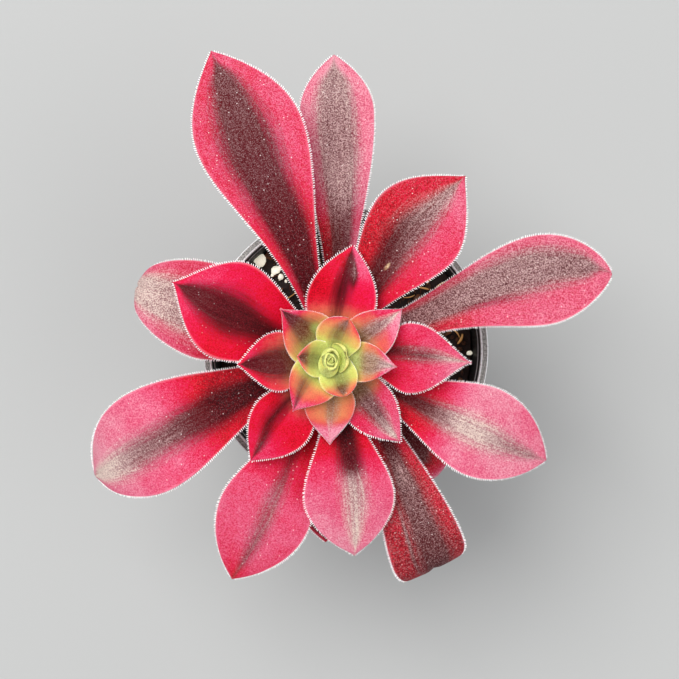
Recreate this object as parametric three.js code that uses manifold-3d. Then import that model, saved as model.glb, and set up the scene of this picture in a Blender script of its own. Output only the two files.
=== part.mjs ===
// Potted aeonium: a spatulate-leaved rosette on a short woody stem, rooted in a round black nursery pot.
// Units are millimetres, +Z is up, and the origin is the centre of the pot's underside, on the surface it stands on.
import * as THREE from "three";
import { mergeVertices } from "three/addons/utils/BufferGeometryUtils.js";
import Module from "manifold-3d";

const wasm = await Module();
wasm.setup();

// Driving dimensions of the pot
const POT_DIAMETER = 90;
const POT_HEIGHT = 80;
const POT_BASE_DIAMETER = 62;
const POT_WALL = 1.2;
const RIM_WIDTH = 2.5;
const COLLAR_HEIGHT = 12;
const DRAIN_HOLES = 6;
const DRAIN_RADIUS = 3.6;
const DRAIN_CIRCLE_RADIUS = 18.5;
const POT_SIDES = 44;

// Driving dimensions of the soil and stem
const CLEARANCE = 0.3;
const SOIL_LEVEL = 68;
const STEM_FOOT = 36;
const STEM_RADIUS = 5;
const STEM_TOP = 125.5;
const STEM_SIDES = 16;

// The crown is the growing point. It leans a little off the pot's centre.
const CROWN = new THREE.Vector3(-4.4, -2.3, 132);

// Leaf thickness at the midrib of a leaf of the full width, and at every margin
const FULL_WIDTH = 27;
const FULL_THICKNESS = 2.4;
const MARGIN_THICKNESS = 0.7;
const PETIOLE_SHARE = 0.17;

// One row for each leaf, from the lowest to the highest. The fields are, in order:
// azimuth   bearing of the tip seen from the crown, in degrees anticlockwise from +X
// reach     level distance from the crown to the tip
// height    height of the tip
// seat      height on the stem where the leaf grows
// rise      slope of the midrib where it leaves the stem, in degrees
// fall      slope of the midrib at the tip, in degrees, where less than -90 tucks the tip under
// sweep     sideways bow, in degrees: the midrib sets out this far left of the azimuth
// width     widest width
// broad     share of the length at which the leaf is widest
// point     how long the tip is drawn out: about 0.6 is blunt and 1.4 is a long point
// cup       how far the margins stand above the midrib, as a share of the half width
// roll      turn of the blade about its midrib at the tip, in degrees, left margin up
const LEAF_FIELDS = [
  "azimuth", "reach", "height", "seat", "rise", "fall", "sweep", "width", "broad", "point", "cup", "roll",
];
const LEAVES = {
  lower_leaf_1: [268, 57, 88, 96, 8, -35, 0, 22, 0.68, 1, -0.05, 0],
  lower_leaf_2: [314, 47, 86, 97.5, 18, -95, 0, 20, 0.62, 0.9, -0.1, 0],
  lower_leaf_3: [161, 62, 90, 99, 18, -100, -4, 28, 0.62, 0.9, -0.1, 0],
  outer_leaf_1: [89.5, 89, 108, 101, 18, -8, -3, 21.5, 0.74, 0.75, 0.05, 0],
  outer_leaf_2: [296, 69, 84, 102, 12, -115, 3, 21.5, 0.78, 0.7, 0, 0],
  outer_leaf_3: [17, 85.5, 112, 103.5, 18, -2, 12, 25.8, 0.75, 0.65, 0.1, 0],
  outer_leaf_4: [245.5, 73, 96, 105, 18, -25, 2, 27.5, 0.68, 0.9, 0.05, 0],
  outer_leaf_5: [206, 79, 88, 106, 18, -75, -8, 30, 0.72, 0.9, 0.05, 0],
  outer_leaf_6: [111.5, 94, 120, 107, 22, -2, -4, 31, 0.72, 1.05, 0.12, 0],
  outer_leaf_7: [334.5, 71, 100, 108, 18, -25, -1, 26.5, 0.72, 1, 0.1, 0],
  outer_leaf_8: [53.5, 65.5, 116, 109.5, 24, -8, 9, 27.5, 0.69, 1.15, 0.12, 0],
  outer_leaf_9: [155, 50, 116, 110.5, 24, -8, -2, 28, 0.62, 1.08, 0.12, 0],
  outer_leaf_10: [276, 58.5, 103, 111, 18, -32, 2, 26.5, 0.67, 1, 0.05, 0],
  middle_leaf_1: [231, 37.5, 113, 113.5, 30, -15, 0, 18, 0.6, 1.2, 0.12, 0],
  middle_leaf_2: [358.5, 40.5, 115, 114.5, 30, -10, 4, 20, 0.62, 1.25, 0.12, 0],
  middle_leaf_3: [80, 34, 121, 116, 38, 5, 3, 19.5, 0.58, 1.25, 0.2, 0],
  middle_leaf_4: [309, 30.5, 116, 116.5, 30, -10, 0, 14, 0.56, 1.2, 0.1, 0],
  middle_leaf_5: [183, 27.5, 120, 117.5, 36, 5, 0, 17, 0.55, 1.3, 0.2, 0],
  inner_leaf_1: [269, 24, 119, 118.5, 40, -10, 0, 15.5, 0.54, 1.35, 0.15, 0],
  inner_leaf_2: [135.5, 20.5, 123, 119.5, 48, 0, 0, 14.5, 0.48, 1.35, 0.2, 0],
  inner_leaf_3: [34.5, 25, 122, 120, 45, 0, -4, 13.5, 0.5, 1.35, 0.2, 0],
  inner_leaf_4: [232.5, 18.5, 124, 121, 48, -5, 0, 13.2, 0.5, 1.35, 0.2, 0],
  inner_leaf_5: [353.5, 19, 126, 122, 50, 0, 0, 10.5, 0.5, 1.3, 0.15, 0],
  inner_leaf_6: [76.5, 12, 128, 122.5, 56, 5, -3, 13, 0.6, 1.2, 0.2, 0],
  inner_leaf_7: [288, 10.5, 128, 123.5, 60, 5, 3, 10, 0.6, 1.2, 0.2, 0],
  inner_leaf_8: [173.5, 9.5, 129.8, 124.2, 42, 20, 0, 10, 0.55, 1.3, 0.2, 0],
};

// The furled heart: small cupped leaves round a core, each a golden angle clockwise of the one outside it
const GOLDEN_ANGLE = 137.5;
const HEART_LEAVES = 6;
const HEART_AZIMUTH = 26;
const HEART_REACH = 5.4;
const HEART_WIDTH = 8;
const HEART_SHRINK = 0.8;
const HEART_CORE_RADIUS = 2.2;

const radians = THREE.MathUtils.degToRad;

// A geometry as a manifold-3d solid, turned the right way out
function solidOf(geometry) {
  const bare = new THREE.BufferGeometry();
  bare.setAttribute("position", geometry.getAttribute("position").clone());
  bare.setIndex(geometry.index);
  const merged = mergeVertices(bare, 1e-4);
  const vertProperties = new Float32Array(merged.attributes.position.array);
  const triVerts = new Uint32Array(merged.index.array);
  const solid = new wasm.Manifold(new wasm.Mesh({ numProp: 3, vertProperties, triVerts }));
  if (solid.volume() > 0) {
    return solid;
  }
  const turned = triVerts.slice();
  for (let i = 0; i < turned.length; i += 3) {
    turned[i + 1] = triVerts[i + 2];
    turned[i + 2] = triVerts[i + 1];
  }
  return new wasm.Manifold(new wasm.Mesh({ numProp: 3, vertProperties, triVerts: turned }));
}

// The largest piece of a solid, as a geometry
function geometryOf(solid) {
  const largest = solid.decompose().sort((a, b) => b.volume() - a.volume())[0];
  const mesh = largest.getMesh();
  const positions = new Float32Array(mesh.numVert * 3);
  for (let i = 0; i < mesh.numVert; i++) {
    positions.set(mesh.vertProperties.subarray(i * mesh.numProp, i * mesh.numProp + 3), i * 3);
  }
  const geometry = new THREE.BufferGeometry();
  geometry.setAttribute("position", new THREE.BufferAttribute(positions, 3));
  geometry.setIndex(new THREE.BufferAttribute(mesh.triVerts, 1));
  geometry.computeVertexNormals();
  return geometry;
}

// A profile of [radius, height] points turned about the Z axis
function turned(profile, sides) {
  const points = profile.map(([radius, height]) => new THREE.Vector2(radius, height));
  return solidOf(new THREE.LatheGeometry(points, sides).rotateX(Math.PI / 2));
}

function upright(geometry, x, y, z) {
  return solidOf(geometry.rotateX(Math.PI / 2).translate(x, y, z));
}

// Pot: a thin tapering wall, a straight collar under a flat rim, and a floor that stands on a ring and a centre pad
const rimRadius = POT_DIAMETER / 2;
const boreRadius = rimRadius - RIM_WIDTH;
const footRadius = POT_BASE_DIAMETER / 2;
const collarFoot = POT_HEIGHT - COLLAR_HEIGHT;
const shoulderDrop = 2;
const shoulderRadius = boreRadius - 1.4;
const floorRise = 1.2;
const floorTop = floorRise + POT_WALL;

function wallBore(height) {
  const share = (height - floorTop) / (collarFoot - shoulderDrop - floorTop);
  return THREE.MathUtils.lerp(footRadius - POT_WALL, shoulderRadius, share);
}

function potSolid() {
  const foot = collarFoot - shoulderDrop;
  const profile = [
    [0, 0],
    [9, 0],
    [10, floorRise],
    [footRadius - 5.5, floorRise],
    [footRadius - 4.5, 0],
    [footRadius - 0.8, 0],
    [footRadius, 1],
    [shoulderRadius + POT_WALL, foot],
    [boreRadius + POT_WALL - 0.1, collarFoot],
    [boreRadius + POT_WALL, POT_HEIGHT - 2.6],
    [rimRadius - 0.5, POT_HEIGHT - 2.6],
    [rimRadius, POT_HEIGHT - 2.1],
    [rimRadius, POT_HEIGHT - 0.3],
    [rimRadius - 0.3, POT_HEIGHT],
    [boreRadius + 0.3, POT_HEIGHT],
    [boreRadius, POT_HEIGHT - 0.4],
    [boreRadius - 0.1, collarFoot + 0.4],
    [shoulderRadius, foot + 0.4],
    [wallBore(floorTop), floorTop],
    [0, floorTop],
  ];
  let pot = turned(profile, POT_SIDES);
  for (let i = 0; i < DRAIN_HOLES; i++) {
    const turn = ((i + 0.5) * 2 * Math.PI) / DRAIN_HOLES;
    const x = DRAIN_CIRCLE_RADIUS * Math.cos(turn);
    const y = DRAIN_CIRCLE_RADIUS * Math.sin(turn);
    pot = pot.subtract(upright(new THREE.CylinderGeometry(DRAIN_RADIUS, DRAIN_RADIUS, 8, 14), x, y, floorRise));
    const notch = new THREE.BoxGeometry(8, 5, 2 * floorRise).translate(footRadius, 0, 0).rotateZ(turn);
    pot = pot.subtract(solidOf(notch));
  }
  return pot;
}

// Stem: its axis is upright in the soil, leans over to the crown's place, and is upright again under the leaves
function stemAxis(height) {
  const lean = THREE.MathUtils.smoothstep(height, SOIL_LEVEL + 3, 112);
  return new THREE.Vector3(CROWN.x * lean, CROWN.y * lean, height);
}

function stemRadius(height) {
  const above = Math.max(0, height - 108) / (STEM_TOP - 108);
  const below = THREE.MathUtils.smoothstep(height, STEM_FOOT, STEM_FOOT + 14);
  return STEM_RADIUS * (0.72 + 0.28 * below) * (1 - 0.45 * above ** 1.6);
}

// Leaf scars: low diamond bosses where old leaves fell, from two crossing spirals
function scarRelief(turn, height) {
  const bare = THREE.MathUtils.smoothstep(height, SOIL_LEVEL + 3, SOIL_LEVEL + 8);
  return 0.28 * bare * Math.cos(3 * turn + height * 0.8) * Math.cos(5 * turn - height * 0.8);
}

function stemSolid(extra) {
  const step = 4;
  const rings = Math.round((STEM_TOP - STEM_FOOT) / step);
  const positions = [];
  const index = [];
  for (let i = 0; i <= rings; i++) {
    const height = STEM_FOOT + ((STEM_TOP - STEM_FOOT) * i) / rings;
    const centre = stemAxis(height);
    for (let k = 0; k < STEM_SIDES; k++) {
      const turn = (2 * Math.PI * k) / STEM_SIDES;
      const radius = stemRadius(height) + scarRelief(turn, height) + extra;
      positions.push(centre.x + radius * Math.cos(turn), centre.y + radius * Math.sin(turn), height);
    }
  }
  const foot = positions.length / 3;
  positions.push(0, 0, STEM_FOOT - extra);
  const top = stemAxis(STEM_TOP);
  positions.push(top.x, top.y, STEM_TOP + extra);
  for (let k = 0; k < STEM_SIDES; k++) {
    const next = (k + 1) % STEM_SIDES;
    for (let i = 0; i < rings; i++) {
      const low = i * STEM_SIDES;
      const high = low + STEM_SIDES;
      index.push(low + k, low + next, high + next, low + k, high + next, high + k);
    }
    index.push(foot, next, k);
    index.push(foot + 1, rings * STEM_SIDES + k, rings * STEM_SIDES + next);
  }
  const geometry = new THREE.BufferGeometry();
  geometry.setAttribute("position", new THREE.Float32BufferAttribute(positions, 3));
  geometry.setIndex(index);
  return solidOf(geometry);
}

// A unit vector from a bearing and a slope, both in degrees
function heading(bearing, slope) {
  const turn = radians(bearing);
  const lift = radians(slope);
  return new THREE.Vector3(Math.cos(turn) * Math.cos(lift), Math.sin(turn) * Math.cos(lift), Math.sin(lift));
}

// Midrib: a cubic curve from the stem's axis to the tip, which leaves and arrives on the row's two slopes
function midrib(leaf, start, crown) {
  const tip = heading(leaf.azimuth, 0).multiplyScalar(leaf.reach).add(crown);
  tip.z = leaf.height;
  const chord = tip.distanceTo(start);
  const leave = heading(leaf.azimuth + leaf.sweep, leaf.rise).multiplyScalar(0.4 * chord);
  const arrive = heading(leaf.azimuth - leaf.sweep, leaf.fall).multiplyScalar(0.36 * chord);
  return new THREE.CubicBezierCurve3(start, start.clone().add(leave), tip.clone().sub(arrive), tip);
}

// Half width at a share of the length: a narrow stalk that widens to the broad place, then a rounded, pointed end
function halfWidth(leaf, along) {
  const full = leaf.width / 2;
  if (along < leaf.broad) {
    const share = (along / leaf.broad) ** 1.4;
    return full * (PETIOLE_SHARE + (1 - PETIOLE_SHARE) * share * share * (3 - 2 * share));
  }
  const past = (along - leaf.broad) / (1 - leaf.broad);
  return Math.max(0.3, full * (1 - past * past) ** leaf.point);
}

// A leaf as a thin lens between two faces, which are split into triangles alike
function leafSolid(leaf, start, crown, alongSteps, acrossSteps) {
  const curve = midrib(leaf, start, crown);
  const level = heading(leaf.azimuth + 90, 0);
  const middle = MARGIN_THICKNESS + (FULL_THICKNESS - MARGIN_THICKNESS) * Math.sqrt(leaf.width / FULL_WIDTH);
  const faces = [[], []];
  for (let i = 0; i <= alongSteps; i++) {
    const along = i / alongSteps;
    const centre = curve.getPointAt(along);
    const tangent = curve.getTangentAt(along);
    const side = level.clone().addScaledVector(tangent, -level.dot(tangent)).normalize();
    side.applyAxisAngle(tangent, radians(leaf.roll) * along);
    const normal = tangent.clone().cross(side);
    const half = halfWidth(leaf, along);
    const deep = MARGIN_THICKNESS + (middle - MARGIN_THICKNESS) * (1 - 0.5 * along * along);
    for (let j = 0; j <= acrossSteps; j++) {
      const across = (2 * j) / acrossSteps - 1;
      const bulge = MARGIN_THICKNESS + (deep - MARGIN_THICKNESS) * (1 - across * across);
      const lift = leaf.cup * half * across * across;
      const foot = centre.clone().addScaledVector(side, half * across);
      faces[0].push(foot.clone().addScaledVector(normal, lift + 0.4 * bulge));
      faces[1].push(foot.clone().addScaledVector(normal, lift - 0.6 * bulge));
    }
  }
  const row = acrossSteps + 1;
  const under = faces[0].length;
  const index = [];
  const quad = (a, b, c, d) => index.push(a, b, c, a, c, d);
  for (let i = 0; i < alongSteps; i++) {
    for (let j = 0; j < acrossSteps; j++) {
      const a = i * row + j;
      index.push(a, a + row, a + row + 1, a, a + row + 1, a + 1);
      index.push(under + a, under + a + row + 1, under + a + row, under + a, under + a + 1, under + a + row + 1);
    }
    const right = i * row;
    const left = right + acrossSteps;
    quad(under + right, under + right + row, right + row, right);
    quad(left, left + row, under + left + row, under + left);
  }
  for (let j = 0; j < acrossSteps; j++) {
    const last = alongSteps * row + j;
    quad(under + j, j, j + 1, under + j + 1);
    quad(under + last + 1, last + 1, last, under + last);
  }
  const positions = [...faces[0], ...faces[1]].flatMap((p) => [p.x, p.y, p.z]);
  const geometry = new THREE.BufferGeometry();
  geometry.setAttribute("position", new THREE.Float32BufferAttribute(positions, 3));
  geometry.setIndex(index);
  return solidOf(geometry);
}

// Heart: a rounded core with small furled leaves standing round it
function heartSolid() {
  const core = new THREE.SphereGeometry(HEART_CORE_RADIUS, 10, 6).scale(1, 1.2, 1.4);
  const base = new THREE.Vector3(CROWN.x, CROWN.y, STEM_TOP + 0.8);
  let heart = solidOf(core.translate(CROWN.x, CROWN.y, STEM_TOP + 3.4));
  for (let i = 0; i < HEART_LEAVES; i++) {
    const size = HEART_SHRINK ** i;
    const leaf = {
      azimuth: HEART_AZIMUTH - GOLDEN_ANGLE * i,
      reach: HEART_REACH * size,
      height: CROWN.z - 2 * size,
      rise: 72,
      fall: 75,
      sweep: 0,
      width: HEART_WIDTH * size,
      broad: 0.55,
      point: 1,
      cup: 0.55,
      roll: 0,
    };
    heart = heart.add(leafSolid(leaf, base, CROWN, 6, 4));
  }
  return heart;
}

// Soil: fills the pot to a lumpy surface, with crumbs and perlite grains standing out of it
const SOIL_GRAINS = 30;

function soilHeight(x, y) {
  const swell = 0.9 * Math.sin(x * 0.16 + 0.7) * Math.cos(y * 0.13 - 0.4);
  const lumps = 0.5 * Math.sin(x * 0.51 + y * 0.23) * Math.sin(y * 0.47 - x * 0.11 + 1.3);
  return SOIL_LEVEL + swell + lumps;
}

// Numbers from 0 to 1 that are the same on every run
function seededDraws(seed) {
  let state = seed;
  return () => {
    state = (Math.imul(state, 1664525) + 1013904223) >>> 0;
    return state / 4294967296;
  };
}

function soilSolid() {
  const low = floorTop + CLEARANCE;
  const bodyTop = collarFoot - shoulderDrop - 2;
  const rings = 6;
  const positions = [];
  const index = [];
  const ring = (radius, heightAt) => {
    for (let k = 0; k < POT_SIDES; k++) {
      const turn = (2 * Math.PI * k) / POT_SIDES;
      const x = radius * Math.cos(turn);
      const y = radius * Math.sin(turn);
      positions.push(x, y, heightAt(x, y));
    }
  };
  ring(wallBore(low) - CLEARANCE - 0.1, () => low);
  for (let i = rings; i >= 1; i--) {
    ring(((wallBore(bodyTop) - CLEARANCE) * i) / rings, soilHeight);
  }
  const centre = positions.length / 3;
  positions.push(0, 0, soilHeight(0, 0), 0, 0, low);
  for (let k = 0; k < POT_SIDES; k++) {
    const next = (k + 1) % POT_SIDES;
    for (let i = 0; i < rings; i++) {
      const outer = i * POT_SIDES;
      const inner = outer + POT_SIDES;
      index.push(outer + k, outer + next, inner + next, outer + k, inner + next, inner + k);
    }
    index.push(rings * POT_SIDES + k, rings * POT_SIDES + next, centre);
    index.push(centre + 1, next, k);
  }
  const geometry = new THREE.BufferGeometry();
  geometry.setAttribute("position", new THREE.Float32BufferAttribute(positions, 3));
  geometry.setIndex(index);
  let soil = solidOf(geometry);
  const draw = seededDraws(7);
  for (let i = 0; i < SOIL_GRAINS; i++) {
    const radius = THREE.MathUtils.lerp(10, 37, Math.sqrt(draw()));
    const turn = 2 * Math.PI * draw();
    const size = THREE.MathUtils.lerp(0.9, 2, draw() ** 2);
    const x = radius * Math.cos(turn);
    const y = radius * Math.sin(turn);
    const grain = new THREE.IcosahedronGeometry(size, 0).scale(1, 0.8, 0.75).rotateZ(6 * draw());
    soil = soil.add(solidOf(grain.translate(x, y, soilHeight(x, y) + 0.2 * size)));
  }
  const holeRadius = STEM_RADIUS + CLEARANCE + 0.1;
  const deep = STEM_FOOT - CLEARANCE;
  const tall = SOIL_LEVEL + 10 - deep;
  return soil.subtract(
    upright(new THREE.CylinderGeometry(holeRadius, holeRadius, tall, STEM_SIDES), 0, 0, deep + tall / 2),
  );
}

const plant = new THREE.Group();

function add(name, solid, color, roughness) {
  const material = new THREE.MeshStandardMaterial({ color, roughness, metalness: 0 });
  const mesh = new THREE.Mesh(geometryOf(solid), material);
  mesh.name = name;
  plant.add(mesh);
}

add("pot", potSolid(), 0x15161a, 0.35);
add("soil", soilSolid(), 0x2c1c14, 0.95);
add("stem", stemSolid(0), 0x7a6656, 0.85);

const seatClearance = stemSolid(CLEARANCE);
for (const [name, row] of Object.entries(LEAVES)) {
  const leaf = Object.fromEntries(LEAF_FIELDS.map((field, i) => [field, row[i]]));
  const alongSteps = leaf.width > 17 ? 13 : 9;
  const solid = leafSolid(leaf, stemAxis(leaf.seat), CROWN, alongSteps, 4);
  const color = name.startsWith("inner") ? 0xc9564e : 0xb51f3f;
  add(name, solid.subtract(seatClearance), color, 0.55);
}
add("heart", heartSolid().subtract(seatClearance), 0xbfc85a, 0.5);

export default plant;
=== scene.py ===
"""Potted aeonium: a fringed red rosette on a woody stem, in a black nursery pot.

Lengths in the formulas are millimetres. They become metres where a mesh is made.
The origin is the centre of the pot's underside, +Z is up.
"""

import math

import bpy
import numpy as np
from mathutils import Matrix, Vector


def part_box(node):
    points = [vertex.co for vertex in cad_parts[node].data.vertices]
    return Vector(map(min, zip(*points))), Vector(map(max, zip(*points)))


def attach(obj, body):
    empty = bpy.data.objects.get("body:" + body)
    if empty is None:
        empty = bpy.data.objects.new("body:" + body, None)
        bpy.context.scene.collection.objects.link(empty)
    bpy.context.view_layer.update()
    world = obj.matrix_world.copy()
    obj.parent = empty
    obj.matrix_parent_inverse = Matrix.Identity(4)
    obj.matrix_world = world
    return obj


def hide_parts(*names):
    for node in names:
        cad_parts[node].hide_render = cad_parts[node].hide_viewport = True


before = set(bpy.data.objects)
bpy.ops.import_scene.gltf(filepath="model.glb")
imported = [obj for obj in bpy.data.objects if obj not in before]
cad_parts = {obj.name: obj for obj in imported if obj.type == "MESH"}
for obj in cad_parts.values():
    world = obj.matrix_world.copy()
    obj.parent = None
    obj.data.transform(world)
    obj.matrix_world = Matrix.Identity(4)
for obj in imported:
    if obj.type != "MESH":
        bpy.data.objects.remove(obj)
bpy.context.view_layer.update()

bl_info = {
    "name": "Potted aeonium",
    "version": (1, 0, 0),
    "blender": (4, 5, 0),
    "location": "View3D > Sidebar > Aeonium",
    "description": "Builds a potted aeonium with fringed leaves around its solid frame",
    "category": "Add Mesh",
}

MM = 0.001
_, POT_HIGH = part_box("pot")
SOIL_LEVEL = 68.0
STEM_FOOT = 36.0
STEM_TOP = 125.5
FOOT_RADIUS = 31.0
# The leaves' azimuths and reaches are measured from the crown
CROWN = np.array([-4.4, -2.3, 132.0])
# Degrees round the stem from one leaf's scar to the next one's
GOLDEN_ANGLE = 137.5

# Shape of each leaf, from the lowest to the highest:
# azimuth, reach, height, seat, rise, fall, sweep, hook, width, broad, point, cup, base, taper
# Azimuth is the bearing of the tip from the crown, in degrees. Reach is level, height is the
# tip's, seat is where the leaf grows on the stem. Rise and fall are the midrib's slopes at stem
# and tip. Sweep is its sideways bow, hook a further turn at the tip. Broad is the share of the
# length where it is widest. Point is how drawn out the tip is, cup how far the margins stand
# above the midrib, base the base's share of the width, and taper how late the leaf widens.
SHAPES = {
    "lower_leaf_1": (268, 57, 88, 96, 8, -35, 0, 0, 22, 0.68, 1, -0.05, 0.17, 1.4),
    "lower_leaf_2": (311.7, 49.2, 86, 97.5, 18, -50, 0.4, 0.2, 17.9, 0.8, 0.35, -0.1, 0.17, 1.4),
    "lower_leaf_3": (159.7, 62.5, 90, 99, 18, -100, 1.6, 1.4, 28.5, 0.55, 1.07, -0.1, 0.17, 1.4),
    "outer_leaf_1": (89.5, 89.2, 108, 101, 18, -8, -3.5, 0, 21.6, 0.804, 0.96, 0.05, 0.173, 1.19),
    "outer_leaf_2": (296.4, 70.3, 84, 102, 12, -115, 14.2, 4.2, 23.1, 0.797, 0.83, 0, 0.226, 1.2),
    "outer_leaf_3": (16.8, 85.1, 112, 103.5, 18, -2, 7.3, 9.7, 26.1, 0.757, 0.742, 0.1, 0.307, 1.83),
    "outer_leaf_4": (245.7, 73.4, 96, 105, 18, -25, 2.4, 0, 27.5, 0.67, 0.95, 0.05, 0.17, 1.44),
    "outer_leaf_5": (206.5, 81.5, 88, 106, 18, -75, -10.7, 6.1, 30.5, 0.632, 1.32, 0.05, 0.196, 1.17),
    "outer_leaf_6": (111.3, 94, 120, 107, 22, -2, -4, 0, 31.1, 0.72, 1.04, 0.12, 0.17, 1.5),
    "outer_leaf_7": (334.6, 71.2, 100, 108, 18, -25, -2.5, 1.4, 26.9, 0.67, 0.93, 0.1, 0.17, 1.4),
    "outer_leaf_8": (53.8, 65.2, 116, 109.5, 24, -8, 9, 0, 28, 0.68, 1.2, 0.12, 0.17, 1.4),
    "outer_leaf_9": (154.1, 50.7, 116, 110.5, 24, -8, -0.9, 1.6, 28.5, 0.63, 1.3, 0.12, 0.3, 1.25),
    "outer_leaf_10": (276.6, 59, 103, 111, 18, -32, 2.4, -0.4, 26.1, 0.66, 1.1, 0.05, 0.17, 1.4),
    "middle_leaf_1": (231.6, 37.8, 113, 113.5, 30, -15, 0, 0, 18, 0.6, 1.2, 0.12, 0.3, 1.4),
    "middle_leaf_2": (358.5, 40.5, 115, 114.5, 30, -10, 6.9, -3.3, 20, 0.55, 1.55, 0.12, 0.1, 1.6),
    "middle_leaf_3": (79.1, 32.9, 121, 116, 38, 5, 2.5, -0.7, 19.5, 0.52, 1.05, 0.2, 0.35, 1),
    "middle_leaf_4": (309.9, 31, 116, 116.5, 30, -10, -0.4, -1, 14.6, 0.54, 1.13, 0.1, 0.4, 0.7),
    "middle_leaf_5": (183.2, 26.8, 120, 117.5, 36, 5, -1.9, -0.1, 16.7, 0.55, 1.3, 0.2, 0.35, 1.4),
    "inner_leaf_1": (269.1, 24.4, 119, 118.5, 40, -10, -2.1, 0, 14.3, 0.5, 1.3, 0.15, 0.4, 1.4),
    "inner_leaf_2": (135.1, 20.3, 123, 119.5, 48, 0, -3.2, 1.3, 15.6, 0.4, 1.45, 0.2, 0.45, 1.4),
    "inner_leaf_3": (35.6, 24.6, 122, 120, 45, 0, -8.6, 0.8, 13.6, 0.49, 1.15, 0.2, 0.4, 0.95),
    "inner_leaf_4": (233.6, 18.2, 124, 121, 48, -5, -6.2, 1, 14.3, 0.4, 1.38, 0.2, 0.45, 1.4),
    "inner_leaf_5": (353.4, 18.6, 126, 122, 50, 0, 4.6, 0, 11.3, 0.48, 1.35, 0.15, 0.55, 1.4),
    "inner_leaf_6": (66, 12.5, 128, 122.5, 56, 5, 9, 4, 13, 0.6, 0.8, 0.2, 0.6, 1.4),
    "inner_leaf_7": (289.4, 10.9, 128, 123.5, 60, 5, 5.7, 2.1, 10.8, 0.56, 0.65, 0.2, 0.82, 1.37),
    "inner_leaf_8": (174.4, 9.5, 129.8, 124.2, 42, 20, 1.6, 0.2, 10.4, 0.5, 1.05, 0.2, 0.9, 1.1),
}

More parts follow.
